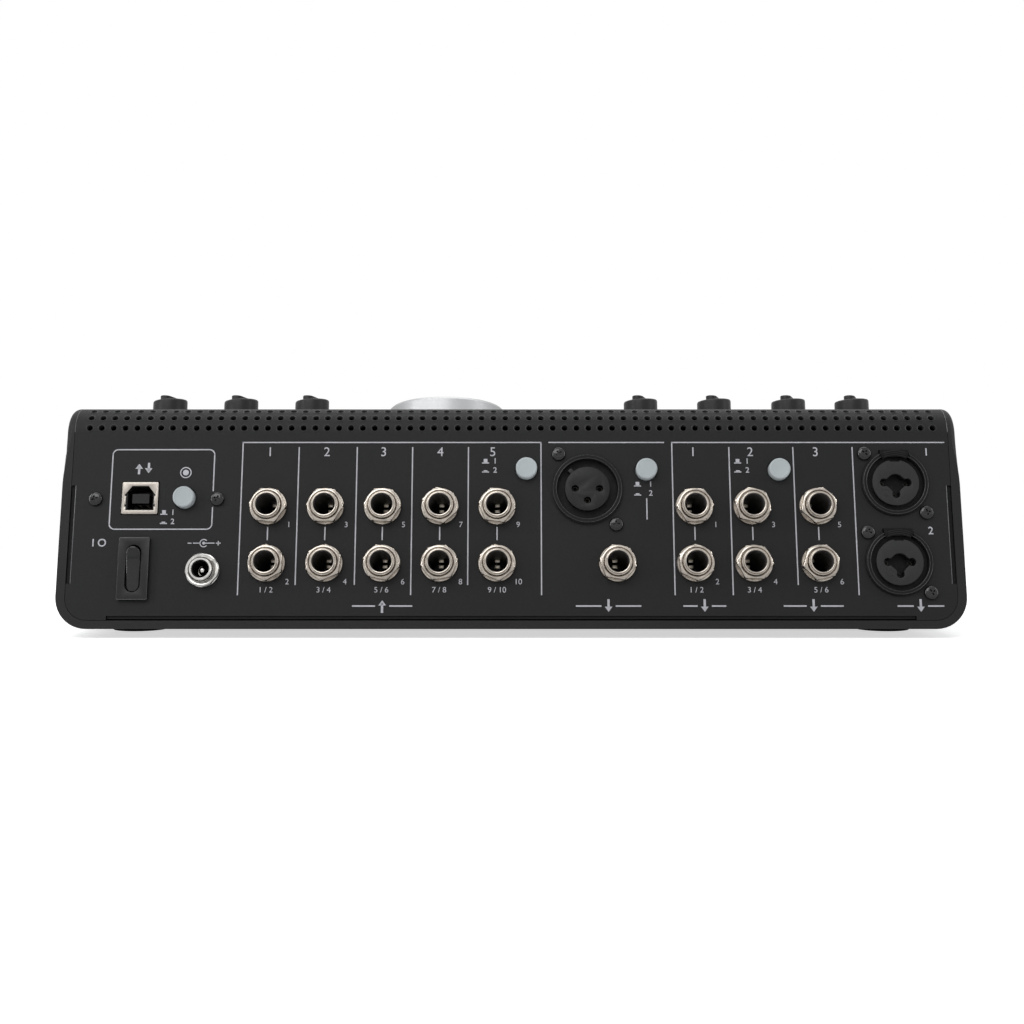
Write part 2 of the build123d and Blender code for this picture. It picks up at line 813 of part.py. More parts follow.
def combo_insert(place):
    """Round insert with a phone-plug bore that opens into three contact slots."""
    insert = rod(place, combo_insert_radius, -combo_groove_depth, -combo_insert_recess)
    side = combo_insert_radius * cos(pi / 4)
    insert += rod(place * Pos(-side, side, 0), key_radius, -combo_groove_depth, -combo_insert_recess)
    insert -= rod(place, combo_bore_radius, -combo_bore_depth, overshoot)
    slot_low = -combo_insert_recess - combo_hole_depth
    for angle in (0, 180, 270):
        slot_place = place * Rot(0, 0, angle) * Pos(combo_hole_circle, 0, 0)
        insert -= rod(slot_place, combo_hole_radius, slot_low, overshoot)
        bridge = place * Rot(0, 0, angle) * Pos(combo_hole_circle / 2, 0, 0)
        insert -= block(bridge, combo_hole_circle, combo_slot_width, slot_low, overshoot)
    return insert


# ---------------------------------------------------------------- USB and power
def make_usb_shell():
    """Plated sheet sleeve."""
    place = rear(usb_u, usb_v)
    sleeve = block(place, usb_width, usb_height, -usb_depth, usb_proud)
    inner_w = usb_width - 2 * usb_wall
    inner_h = usb_height - 2 * usb_wall
    sleeve -= block(place, inner_w, inner_h, -usb_depth + usb_wall, usb_proud - usb_face)
    opening = plug_outline(usb_opening_width, usb_opening_height, usb_opening_chamfer)
    return sleeve - place * Pos(0, 0, usb_proud - usb_face) * extrude(opening, usb_face + overshoot)


def plug_outline(width, height, c):
    """Outline of the plug's opening, its upper corners cut off."""
    w = width / 2
    h = height / 2
    corners = [(-w, -h), (w, -h), (w, h - c), (w - c, h), (c - w, h), (-w, h - c)]
    return make_face(Polyline(*corners, close=True))


def make_usb_insert():
    """Black insert with a plug-shaped mouth and a contact tongue."""
    place = rear(usb_u, usb_v)
    inner_w = usb_width - 2 * usb_wall
    inner_h = usb_height - 2 * usb_wall
    front_w = usb_proud - usb_face
    insert = block(place, inner_w, inner_h, -usb_depth + usb_wall, front_w)
    mouth = plug_outline(usb_mouth_width, usb_mouth_height, usb_mouth_chamfer)
    insert -= place * Pos(0, 0, front_w - usb_mouth_depth) * extrude(mouth, usb_mouth_depth + overshoot)
    low = front_w - usb_mouth_depth
    return insert + block(place, usb_tongue_width, usb_tongue_height, low, low + usb_tongue_length)


def make_dc_barrel():
    """Plated barrel with a round nut and its body behind the panel."""
    place = rear(dc_u, dc_v)
    body = block(place, dc_body_width, dc_body_width, -sheet - socket_depth, -sheet)
    body += rod(place, dc_barrel_radius, -sheet, dc_barrel_reach)
    body += rod(place, dc_nut_radius, 0, dc_nut_height)
    return body - rod(place, dc_bore_radius, dc_barrel_reach - dc_bore_depth, dc_barrel_reach + overshoot)


def make_dc_pin():
    """Centre contact standing on the floor of the bore."""
    place = rear(dc_u, dc_v)
    low = dc_barrel_reach - dc_bore_depth
    return rod(place, dc_pin_radius, low, low + dc_pin_length)


def make_bezel():
    """Switch housing with a long well and two pivot holes."""
    place = rear(rocker_u, rocker_v)
    housing = block(place, bezel_body_width, bezel_body_height, -sheet - bezel_body_depth, 0)
    housing += block(place, bezel_width, bezel_height, 0, bezel_proud)
    slot = SlotOverall(bezel_well_height, bezel_well_width, rotation=90)
    housing -= place * Pos(0, 0, -bezel_well_depth) * extrude(slot, bezel_well_depth + 2 * bezel_proud)
    pivot = place * Pos(0, 0, rocker_axis_w) * Rot(0, 90, 0)
    reach = rocker_width / 2 + rocker_pin_reach + running_clearance
    return housing - rod(pivot, rocker_pin_radius + running_clearance, -reach, reach)


def rocker_place():
    """The rocker rests with its lower end pressed in."""
    return rear(rocker_u, rocker_v) * Pos(0, 0, rocker_axis_w) * Rot(rocker_tilt, 0, 0)


def make_rocker():
    """Narrow paddle with round ends, slightly hollowed towards its middle, with two pivot pins."""
    half = rocker_length / 2
    thick = rocker_thickness
    profile = (
        Line((-half, -thick / 2), (half, -thick / 2))
        + Line((half, -thick / 2), (half, thick / 2))
        + ThreePointArc((half, thick / 2), (0, thick / 2 - rocker_hollow), (-half, thick / 2))
        + Line((-half, thick / 2), (-half, -thick / 2))
    )
    paddle = extrude(Plane.YZ * make_face(profile), rocker_width / 2, both=True)
    paddle &= extrude(SlotOverall(rocker_length, rocker_width, rotation=90), thick, both=True)
    reach = rocker_width / 2 + rocker_pin_reach
    return rocker_place() * (paddle + rod(Rot(0, 90, 0), rocker_pin_radius, -reach, reach))


# ---------------------------------------------------------------- rear push buttons
def rear_button(place):
    """Round cap with a softened edge and a plunger behind it."""
    outline = [
        (0, -button_tail),
        (button_radius, -button_tail),
        (button_radius, button_reach - button_edge),
        (button_radius - button_edge, button_reach),
        (0, button_reach),
    ]
    return turned(place, outline) + rod(place, plunger_radius, -button_tail - plunger_length, -button_tail)


def rear_switch(place):
    """Switch body on the socket board, bored for the plunger."""
    body = block(place, switch_size, switch_size, -sheet - socket_depth, -switch_front)
    deep = button_tail + plunger_length + button_travel + panel_hole_gap
    return body - rod(place, plunger_radius + running_clearance, -deep, 0)


# ---------------------------------------------------------------- boards and posts
def make_rear_board():
    """Board behind the rear sockets, parallel to the panel."""
    height = rear_board_high - rear_board_low
    width = 2 * (inner_half - rear_board_side_gap)
    place = rear(0, (rear_board_high + rear_board_low) / 2)
    high = -sheet - socket_depth
    return block(place, width, height, high - board_thickness, high)


def make_rear_posts():
    """Posts behind the two chassis screws."""
    posts = []
    for u in chassis_screws_u:
        place = rear(u, chassis_screw_v)
        post = rod(place, rear_post_radius, -sheet - socket_depth, -sheet)
        posts.append(post - rod(place, tray_hole_radius(), -2 * sheet - tray_screw_length, 0))
    return posts


def control_board_top():
    """Height of the control board's upper face over the top panel's outer face."""
    return -sheet - control_board_gap


def make_control_board():
    """Board under the top panel that carries the controls."""
    length = control_board_far - control_board_near
    width = 2 * (inner_half - control_board_side_gap)
    place = top(0, (control_board_far + control_board_near) / 2)
    high = control_board_top()
    return block(place, width, length, high - board_thickness, high)


def make_control_posts():
    """Posts from the control board up to the top panel."""
    return [rod(top(x, along), post_radius, control_board_top(), -sheet) for x, along in control_posts]


# ---------------------------------------------------------------- knobs
def potentiometer(place):
    """Square body on the control board with a bush through the panel, bored for the shaft."""
    low = control_board_top()
    body = block(place, pot_size, pot_size, low, low + pot_height)
    body += rod(place, pot_bush_radius, low + pot_height, pot_bush_height)
    return body - rod(place, shaft_radius + running_clearance, low + pot_floor, pot_bush_height + overshoot)


def shaft(place, high):
    """Flatted control shaft."""
    low = control_board_top() + pot_floor + panel_hole_gap
    bar = rod(place, shaft_radius, low, high)
    flat_place = place * Pos(0, shaft_radius, 0)
    flat_low = pot_bush_height + knob_gap
    return bar - block(flat_place, 2 * shaft_radius, 2 * shaft_flat, flat_low, high + overshoot)


def small_knob(place):
    """Pointer knob: skirt, tapered body with a round shoulder, and a bar across its top."""
    middle = Pos(0, 0, 0)
    bar_low = knob_height - knob_shoulder
    bar = rounded(middle, pointer_width, 2 * knob_top_radius, pointer_corner, bar_low, pointer_height)
    bar &= rod(middle, knob_top_radius - pointer_inset, bar_low, pointer_height)
    knob = small_knob_turning() + bar
    knob -= rod(middle, pot_bush_radius + 2 * panel_hole_gap, 0, pot_bush_height + panel_hole_gap)
    knob -= rod(middle, shaft_radius, 0, knob_shaft_high())
    return place * knob


def knob_shaft_high():
    """Height at which a small knob's shaft ends."""
    return pot_bush_height + knob_gap + knob_bore_depth


def small_knob_turning():
    """The turned part of a small knob."""
    skirt_top = knob_gap + knob_skirt
    arc_mid = knob_shoulder * (1 - cos(radians(45)))
    line = (
        Line((0, knob_gap), (knob_skirt_radius, knob_gap))
        + Line((knob_skirt_radius, knob_gap), (knob_skirt_radius, skirt_top))
        + Line((knob_skirt_radius, skirt_top), (knob_radius, skirt_top))
        + Line((knob_radius, skirt_top), (knob_top_radius, knob_height - knob_shoulder))
        + ThreePointArc(
            (knob_top_radius, knob_height - knob_shoulder),
            (knob_top_radius - arc_mid, knob_height - arc_mid),
            (knob_top_radius - knob_shoulder, knob_height),
        )
        + Line((knob_top_radius - knob_shoulder, knob_height), (0, knob_height))
        + Line((0, knob_height), (0, knob_gap))
    )
    return revolve(Plane.XZ * make_face(line), Axis.Z)


def volume_knob(place):
    """Large turned knob, hollow below, with a dished top and a finger dimple."""
    r = volume_radius
    rim = r - volume_taper
    low = knob_gap
    high = volume_height
    dish = high - volume_dish_depth
    outline = [
        (0, low + volume_skirt_hollow),
        (r - volume_wall, low + volume_skirt_hollow),
        (r - volume_wall, low),
        (r, low),
        (rim, high - volume_edge),
        (rim - volume_edge, high),
        (volume_dish_radius, high),
        (volume_dish_radius - volume_dish_depth, dish),
        (0, dish),
    ]
    knob = turned(Pos(0, 0, 0), outline)
    reach = volume_dish_radius - volume_dimple_inset
    dimple = Pos(-reach * sin(radians(pointer_turn)), -reach * cos(radians(pointer_turn)), 0)
    knob -= rod(dimple, volume_dimple_radius, dish - volume_dimple_depth, high)
    knob -= rod(Pos(0, 0, 0), shaft_radius, 0, volume_shaft_high())
    return place * knob


def volume_shaft_high():
    """The volume shaft ends inside the knob."""
    return volume_height - volume_dish_depth - volume_top_wall


# ---------------------------------------------------------------- keys, lamps and meter
def tact_top():
    """Height of a key switch's upper face, which a fully pressed key just clears."""
    return -key_tail - key_travel - tact_clear


def top_key(place, length):
    """Key cap with rounded corners and a softened top, and the stem that works its switch."""
    cap = rounded(Pos(0, 0, 0), key_width, length, key_corner, -key_tail, key_height)
    cap = fillet(cap.faces().sort_by(Axis.Z)[-1].edges(), key_edge)
    return place * (cap + rod(Pos(0, 0, 0), key_stem_radius, tact_top() - key_stem_bite, -key_tail))


def tact_switch(place):
    """Low switch body under a key, bored for the key's stem."""
    body = block(place, tact_size, tact_size, control_board_top(), tact_top())
    deep = tact_top() - key_stem_bite - key_travel - panel_hole_gap
    return body - rod(place, key_stem_radius + running_clearance, deep, 0)


def lamp(place):
    """Small round lamp that reaches from the board to the panel."""
    return rod(place, lamp_radius, control_board_top(), lamp_proud)


def meter_segment_places():
    """Two columns of lamp bars under the meter window."""
    span = meter_length - 2 * meter_margin
    step = span / (meter_segments - 1)
    columns = (-meter_width / 4, meter_width / 4)
    return [(meter_x + c, meter_along - span / 2 + i * step) for c in columns for i in range(meter_segments)]


def meter_segments_bars():
    """Lamp bars standing on the control board."""
    high = -segment_drop
    bars = []
    for x, along in meter_segment_places():
        bars.append(block(top(x, along), segment_width, segment_length, control_board_top(), high))
    return bars


# ---------------------------------------------------------------- assembly
def build():
    """Make every sub-part."""
    add("tray", make_tray_with_holes())
    add("cover", make_cover())
    add("rubber_feet", *make_feet())
    add("fixing_brackets", *make_brackets())
    add("tray_screws", *make_tray_screws())
    length = sheet + tray_screw_length
    screws = [panel_screw(rear(u, chassis_screw_v), screw_head_radius, length) for u in chassis_screws_u]
    socket_screws = mic_screw_places() + combo_screw_places()
    screws += [panel_screw(rear(u, v), panel_screw_radius, length) for u, v in socket_screws]
    add("panel_screws", *screws)

    groups = (
        ("output_socket", [rear(u, v) for u, v in output_places()]),
        ("input_socket", [rear(u, v) for u, v in input_places()]),
        ("phones_socket", [front(x, phones_z) for x in phones_x]),
    )
    for name, places in groups:
        add(name + "_bodies", *[socket_body(p) for p in places])
        add(name + "_bushes", *[socket_bush(p) for p in places])
        nuts = [socket_nut(p * Rot(0, 0, i * nut_turn_step)) for i, p in enumerate(places)]
        add(name + "_nuts", *nuts)

    add("mic_shell", make_mic_shell() - screw_bores(mic_screw_places()))
    add("mic_insert", make_mic_insert())
    combos = [rear(combo_u, v) for v in combo_rows_v]
    add("combo_shells", *[combo_shell(p) - screw_bores(combo_screw_places()) for p in combos])
    add("combo_inserts", *[combo_insert(p) for p in combos])
    for i, place in enumerate(combos):
        add(f"combo_latch_{i + 1}", combo_latch(place))

    add("usb_shell", make_usb_shell())
    add("usb_insert", make_usb_insert())
    add("dc_socket", make_dc_barrel(), make_dc_pin())
    add("power_bezel", make_bezel())
    add("power_rocker", make_rocker())
    for name, u, v in button_places:
        add(name, rear_button(rear(u, v)))
    add("rear_switches", *[rear_switch(rear(u, v)) for _, u, v in button_places])

    add("boards", make_rear_board(), make_control_board(), make_phones_board())
    add("board_posts", *make_rear_posts(), *make_control_posts())

    add("potentiometers", *[potentiometer(top(x, knob_along)) for _, x in knobs])
    add("volume_potentiometer", potentiometer(top(volume_x, volume_along)))
    for name, x in knobs:
        place = top(x, knob_along, -pointer_turn)
        add(name, small_knob(place), shaft(place, knob_shaft_high()))
    place = top(volume_x, volume_along)
    add("volume_knob", volume_knob(place), shaft(place, volume_shaft_high()))

    for name, x, along in key_places:
        add(name, top_key(top(x, along), key_length_of(name)))
    add("key_switches", *[tact_switch(top(x, along)) for _, x, along in key_places])
    add("key_lamps", *[lamp(top(x, along)) for x, along in lamp_places()])
    window = rounded(top(meter_x, meter_along), meter_width, meter_length, meter_corner, -sheet / 2, 0)
    add("meter_window", window)
    add("meter_lamps", *meter_segments_bars())
    place = top(mic_grille_x, mic_grille_along)
    add("talkback_microphone", rod(place, mic_capsule_radius, -sheet - mic_capsule_height, -sheet))


def make_tray_with_holes():
    """The tray with its screw holes."""
    return make_tray() - tray_screw_holes()


def screw_bores(places):
    """Holes for panel screws in the socket bodies behind the panel."""
    deep = sheet + tray_screw_length + screw_clearance
    return [rod(rear(u, v), tray_hole_radius(), -deep, overshoot) for u, v in places]


def make_phones_board():
    """Small board behind the two headphone sockets."""
    middle = (phones_x[0] + phones_x[1]) / 2
    half = (phones_x[1] - phones_x[0]) / 2 + phones_board_half_width
    place = front(middle, (phones_board_low + phones_board_high) / 2)
    high = -sheet - socket_depth
    return block(place, 2 * half, phones_board_high - phones_board_low, high - board_thickness, high)


build()
boxes = [solid.bounding_box() for solids in NODES.values() for solid in solids]
rear_most = max(b.max.Y for b in boxes)
front_most = min(b.min.Y for b in boxes)
ORIGIN = Pos(0, -(rear_most + front_most) / 2, foot_height)
os.makedirs("parts", exist_ok=True)
for name, solids in NODES.items():
    placed = [ORIGIN * solid for solid in solids]
    shape = placed[0] if len(placed) == 1 else Compound(placed)
    export_step(shape, f"parts/{name}.step")
print(f"{len(NODES)} nodes, from front to rear {rear_most - front_most:.1f} mm")
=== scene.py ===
# %% [markdown]
# # A desktop monitor controller, dressed in Blender
# The object is a wedge-shaped case full of sockets: a moulded tray, one bent sheet of painted steel, and
# everything that is screwed through that sheet. Its solids come from a CAD frame that is already packed, so
# this lesson never moves them. It adds what a CAD model leaves out: finishes, small fasteners, printed
# lines, threads and contacts. Everything is in metres, in the frame's own axes.

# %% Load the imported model
import json
from math import copysign, cos, degrees, pi, radians, sin, tan, tau

import bmesh
import bpy
from mathutils import Matrix, Vector


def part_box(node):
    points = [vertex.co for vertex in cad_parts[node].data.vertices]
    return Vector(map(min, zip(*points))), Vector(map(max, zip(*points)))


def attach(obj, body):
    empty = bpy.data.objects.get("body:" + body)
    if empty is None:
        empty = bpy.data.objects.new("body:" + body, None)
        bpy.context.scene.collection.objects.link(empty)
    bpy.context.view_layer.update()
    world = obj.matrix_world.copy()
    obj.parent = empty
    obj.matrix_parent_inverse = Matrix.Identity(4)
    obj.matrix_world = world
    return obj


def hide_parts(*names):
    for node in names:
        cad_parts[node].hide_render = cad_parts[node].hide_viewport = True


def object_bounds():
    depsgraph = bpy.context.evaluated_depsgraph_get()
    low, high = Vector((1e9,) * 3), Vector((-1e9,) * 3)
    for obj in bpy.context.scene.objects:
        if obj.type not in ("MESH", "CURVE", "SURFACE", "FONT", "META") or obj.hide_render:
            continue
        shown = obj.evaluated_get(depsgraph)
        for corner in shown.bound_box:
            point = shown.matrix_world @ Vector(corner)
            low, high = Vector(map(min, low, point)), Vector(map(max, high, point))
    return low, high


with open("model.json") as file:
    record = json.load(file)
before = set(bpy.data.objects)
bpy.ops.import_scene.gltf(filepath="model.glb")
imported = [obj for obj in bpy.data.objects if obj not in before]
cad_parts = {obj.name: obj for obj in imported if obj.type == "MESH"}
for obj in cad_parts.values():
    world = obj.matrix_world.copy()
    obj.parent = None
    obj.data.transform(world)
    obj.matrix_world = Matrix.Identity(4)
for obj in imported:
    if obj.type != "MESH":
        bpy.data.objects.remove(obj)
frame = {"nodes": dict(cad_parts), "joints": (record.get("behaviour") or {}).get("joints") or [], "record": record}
cad_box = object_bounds()

# %% [markdown]
# ## Three drawing planes
# Almost every detail lies on one of three flat faces: the leaning rear panel, the sloping top and the
# upright front. A matrix for each face turns "so many millimetres right, up and out" into a place on the
# object. The leans are read from the joints of a rear button and of the volume knob, because a button
# slides square to its panel and a knob turns square to the top. Reading them keeps the drawing planes right
# when the case is changed.

# %% Planes of the rear, the top and the front
MM = 0.001
joints = {joint["name"]: joint for joint in frame["joints"]}


def face_matrix(origin, right, up):
    """A matrix whose axes run right, up and out of a flat face."""
    out = right.cross(up)
    turn = Matrix((right, up, out)).transposed().to_4x4()
    return Matrix.Translation(origin) @ turn @ Matrix.Scale(MM, 4)


tray_low, tray_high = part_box("tray")
cover_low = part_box("cover")[0]
rear_out = -Vector(joints["output_level_button_press"]["axis"])
top_out = -Vector(joints["volume_knob_turn"]["axis"])
rear_right = Vector((-1, 0, 0))
rear_up = rear_out.cross(rear_right)
rear_origin = Vector((0, tray_high.y, tray_low.z))
top_right = Vector((1, 0, 0))
top_up = top_out.cross(top_right)
on_top = Vector(joints["volume_knob_turn"]["pos_m"])
rear_height = (on_top - rear_origin).dot(top_out) / rear_up.dot(top_out)
top_origin = rear_origin + rear_up * rear_height
front_origin = Vector((0, cover_low.y, tray_low.z))

REAR = face_matrix(rear_origin, rear_right, rear_up)
TOP = face_matrix(top_origin, top_right, top_up)
FRONT = face_matrix(front_origin, top_right, Vector((0, 0, 1)))
print("rear panel height in mm:", round(rear_height / MM, 2))

# %% [markdown]
# Three short helpers return matrices that say where a piece goes. Matrices are chained with @, and the one
# on the right works first, so a piece can be turned about its own middle and then be set on its face. A
# fourth helper goes the other way and reads where a point lies on a face.

# %% Helpers for places
unmoved = Matrix()


def moved(right, up, out=0.0):
    """A shift along the three axes."""
    return Matrix.Translation((right, up, out))


def rolled(angle, axis="Z"):
    """A turn in degrees about one axis."""
    return Matrix.Rotation(radians(angle), 4, axis)


def at(face, right, up, out=0.0, turn=0.0):
    """A place on one of the faces, in millimetres, turned in degrees about the way out."""
    return face @ moved(right, up, out) @ rolled(turn)


def on_face(face, point):
    """A point in metres, as right and up on a face in millimetres."""
    local = face.inverted() @ point
    return local.x, local.y


print("the volume knob, as right and up on the top:", [round(v, 1) for v in on_face(TOP, on_top)])

# %% [markdown]
# ## Where the sockets are
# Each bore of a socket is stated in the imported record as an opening, so its centre needs no measuring: the
# box's middle, written in the panel's own axes, is the socket's place.

# %% Socket places from the stated openings
openings = {box["name"]: box for box in frame["record"]["physics"]["openings"]}


def bore_places(face, name, count):
    """The places of a row of numbered bores on a face."""
    places = []
    for i in range(count):
        low, high = openings[f"{name}_{i + 1}"]["box_m"]
        places.append(on_face(face, (Vector(low) + Vector(high)) / 2))
    return places


output_places = bore_places(REAR, "output_bore", 10)
input_places = bore_places(REAR, "input_bore", 7)
phones_places = bore_places(FRONT, "phones_bore", 2)
combo_places = bore_places(REAR, "combo_bore", 2)
print("first output socket:", [round(v, 2) for v in output_places[0]])
print("combination sockets:", [[round(v, 2) for v in place] for place in combo_places])

# %% [markdown]
# ## A small kit for finishes
# Every finish starts from one Principled shader and gets its life from noise on Object coordinates, which
# are metres here, so a scale of 1000 gives grains of about a millimetre. A finish could also be painted on
# an image, but noise has no seams and costs no file. Values that are the same all over stay on the shader's
# own sockets, and only what varies is linked.

# %% Helpers for patterns
def new_material(name):
    """An empty node material with a Principled shader and its output."""
    material = bpy.data.materials.new(name + "_finish")
    material.use_nodes = True
    nodes = material.node_tree.nodes
    nodes.clear()
    shader = nodes.new("ShaderNodeBsdfPrincipled")
    out = nodes.new("ShaderNodeOutputMaterial")
    material.node_tree.links.new(shader.outputs["BSDF"], out.inputs["Surface"])
    return material, shader


def noise(material, scale, detail):
    """A noise texture on Object coordinates."""
    nodes, links = material.node_tree.nodes, material.node_tree.links
    place = nodes.new("ShaderNodeTexCoord")
    texture = nodes.new("ShaderNodeTexNoise")
    texture.inputs["Scale"].default_value = scale
    texture.inputs["Detail"].default_value = detail
    texture.inputs["Roughness"].default_value = 0.55
    links.new(place.outputs["Object"], texture.inputs["Vector"])
    return texture.outputs["Fac"]


def spread(material, source, low, high):
    """Stretches a noise between two values, taking its useful middle part."""
    node = material.node_tree.nodes.new("ShaderNodeMapRange")
    node.inputs["From Min"].default_value = 0.3
    node.inputs["From Max"].default_value = 0.7
    node.inputs["To Min"].default_value = low
    node.inputs["To Max"].default_value = high
    material.node_tree.links.new(source, node.inputs["Value"])
    return node.outputs["Result"]


print("pattern helpers ready")

# %% [markdown]
# A finish is the sum of three patterns: blotches that change the colour a little, a fine grain that changes
# the gloss, and the same grain once more as a bump. Few real surfaces need more, and each number says
# something that one can see: how large the blotches are, how far the gloss wanders, how deep the grain is.

# %% Helpers for finishes
def two_tone(material, source, dark, light):
    """Blends two colours by a noise."""
    node = material.node_tree.nodes.new("ShaderNodeMix")
    node.data_type = "RGBA"
    node.inputs["A"].default_value = (*dark, 1)
    node.inputs["B"].default_value = (*light, 1)
    material.node_tree.links.new(spread(material, source, 0.0, 1.0), node.inputs["Factor"])
    return node.outputs["Result"]


def bump(material, shader, source, strength, distance):
    """Raises the surface by a noise, distance in metres; a second call stacks on the first."""
    nodes, links = material.node_tree.nodes, material.node_tree.links
    node = nodes.new("ShaderNodeBump")
    node.inputs["Strength"].default_value = strength
    node.inputs["Distance"].default_value = distance
    links.new(source, node.inputs["Height"])
    if shader.inputs["Normal"].is_linked:
        links.new(shader.inputs["Normal"].links[0].from_socket, node.inputs["Normal"])
    links.new(node.outputs["Normal"], shader.inputs["Normal"])


def grade(color, factor):
    """The same colour, darker or lighter."""
    return tuple(min(1.0, c * factor) for c in color)


def finish(name, color, rough, metallic=0.0, vary=0.12, grain=1500, grain_depth=0.00002,
           grain_strength=0.25, blotch=45, coat=0.0, specular=0.5):
    """A finish with blotchy tone, uneven gloss and a fine grain."""
    material, shader = new_material(name)
    links = material.node_tree.links
    broad = noise(material, blotch, 4.0)
    fine = noise(material, grain, 2.0)
    tone = two_tone(material, broad, grade(color, 1 - vary), grade(color, 1 + vary))
    links.new(tone, shader.inputs["Base Color"])
    links.new(spread(material, fine, rough[0], rough[1]), shader.inputs["Roughness"])
    shader.inputs["Metallic"].default_value = metallic
    shader.inputs["Coat Weight"].default_value = coat
    shader.inputs["Specular IOR Level"].default_value = specular
    bump(material, shader, fine, grain_strength, grain_depth)
    return material, shader


print("finish helpers ready")

# %% [markdown]
# ## Painted sheet steel
# The cover is a steel sheet with a fine charcoal powder coat. Powder melts into tiny domes, so the surface
# is matte with a soft, broken sheen. Two bumps make it: grains of a third of a millimetre, and a much
# slower orange peel. A faint dust tone in the broad noise keeps the large panel from looking like paper.

# %% Powder coat
powder_grain, orange_peel = 2600, 320


def powder_coat():
    """Fine charcoal powder coat."""
    material, shader = finish("charcoal_powder_coat", (0.0095, 0.0095, 0.0098), (0.5, 0.68), vary=0.07,
                              grain=powder_grain, grain_strength=0.35, blotch=24, specular=0.2)
    bump(material, shader, noise(material, orange_peel, 2.0), 0.10, 0.00003)
    return material


cover_finish = powder_coat()
print("made", cover_finish.name)

# %% [markdown]
# ## Moulded plastics
# The tray, the sockets and the knobs are all black plastic, yet no two read the same. The tray's mould was
# spark-eroded, which leaves an even, rather coarse grain under slow waves. Socket bodies come from a plain
# mould and look smoother. The knobs have a soft satin feel. One recipe with other grain sizes and gloss
# ranges gives them all, which is quicker than one graph for each and keeps them related, as they are on the
# real thing.

# %% Plastic of the tray
spark_grain, mould_waves = 1700, 120


def tray_plastic():
    """Charcoal plastic with a spark-eroded grain."""
    material, shader = finish("tray_plastic", (0.0105, 0.0105, 0.011), (0.44, 0.62), vary=0.08,
                              grain=spark_grain, grain_depth=0.00004, grain_strength=0.4, blotch=30,
                              specular=0.22)
    bump(material, shader, noise(material, mould_waves, 2.0), 0.05, 0.00005)
    return material


tray_finish = tray_plastic()
print("made", tray_finish.name)

# %% [markdown]
# The smaller mouldings share one helper. Its two gloss values are the ends between which the roughness wanders: a
# rocker that fingers polish lies near 0.2, a latch deep in its groove near 0.5. The linings of the grooves and the
# edges of the rims are finishes of their own, because a thin light or dark line is what makes a small moulding
# readable. Several of them are painted light or shade. The rim beads, latch ridges, the switch's edge frame, the
# vent lips and the sheet edges are painted lighter than their surfaces, as highlights. The bore liners are painted
# lighter, as the light that reaches into the bores. The tray's ledges are painted darker, as shade.

# %% Plastics of the small mouldings
def smooth_plastic(name, color, rough=(0.34, 0.5), grain=900, strength=0.12, coat=0.0, specular=0.25):
    """Plastic from a plain mould."""
    return finish(name, color, rough, vary=0.1, grain=grain, grain_strength=strength, coat=coat,
                  specular=specular)[0]


socket_finish = smooth_plastic("socket_plastic", (0.006, 0.006, 0.0062))
ring_finish = smooth_plastic("socket_rim_plastic", (0.0035, 0.0035, 0.0036), (0.4, 0.54), specular=0.16)
# The bore plastic is painted far lighter than the black socket plastic, as the light inside the bores.
lightened_bore_finish = smooth_plastic("lightened_bore_plastic", (0.075, 0.071, 0.067), (0.34, 0.48), specular=0.4)
insert_finish = smooth_plastic("insert_plastic", (0.0085, 0.0085, 0.0087), (0.4, 0.55), 1400, 0.2)
tongue_finish = smooth_plastic("tongue_plastic", (0.03, 0.03, 0.031), (0.4, 0.55))
grey_insert_finish = smooth_plastic("grey_insert_plastic", (0.02, 0.02, 0.021), (0.42, 0.58), 1400, 0.22)
latch_finish = smooth_plastic("latch_plastic", (0.003, 0.003, 0.003), (0.45, 0.6), specular=0.14)
lining_finish = smooth_plastic("groove_plastic", (0.007, 0.007, 0.0071), (0.5, 0.65), specular=0.16)
# The rim beads are painted several times lighter than the rims, as highlights.
bead_highlight_finish = smooth_plastic("rim_bead_highlight_plastic", (0.022, 0.022, 0.0225), (0.2, 0.32), specular=0.4)
# The latch ridges are painted twice as light as the tab, as a highlight.
rib_highlight_finish = smooth_plastic("latch_rib_highlight_plastic", (0.006, 0.006, 0.006), (0.3, 0.42), specular=0.25)
# The polished edge is painted twice as light as the switch housing, as a highlight line.
edge_highlight_finish = smooth_plastic("polished_edge_highlight_plastic", (0.02, 0.02, 0.0205), (0.1, 0.18), specular=0.6)
# The vent lips' paint is twice as light as the cover's, a painted highlight on each rim.
lip_highlight_finish = smooth_plastic("vent_lip_highlight_paint", (0.02, 0.02, 0.0205), (0.35, 0.5), powder_grain, 0.3)
# The edge paint is about ten times lighter than the cover, a painted highlight line.
painted_highlight_finish = smooth_plastic("edge_highlight_paint", (0.1, 0.1, 0.106), (0.25, 0.35), specular=0.5)
# The ledge plastic is painted darker than the tray's, as shade inside the cut-backs.
shaded_ledge_finish = smooth_plastic("shaded_ledge_plastic", (0.0045, 0.0045, 0.0047), (0.5, 0.6), spark_grain, 0.3,
                              specular=0.15)
knob_finish = smooth_plastic("knob_plastic", (0.012, 0.012, 0.0125), (0.36, 0.52), 1800, 0.22)
rocker_finish = smooth_plastic("rocker_plastic", (0.007, 0.007, 0.0072), (0.16, 0.3), 700, 0.08, 0.3)
bezel_finish = smooth_plastic("bezel_plastic", (0.01, 0.01, 0.0102), (0.3, 0.45))
button_finish = smooth_plastic("button_plastic", (0.415, 0.453, 0.462), (0.42, 0.55), 1600, 0.15)
key_finish = smooth_plastic("key_plastic", (0.4, 0.43, 0.44), (0.38, 0.52), 1600, 0.15)
switch_finish = smooth_plastic("switch_plastic", (0.01, 0.01, 0.01), (0.4, 0.55))
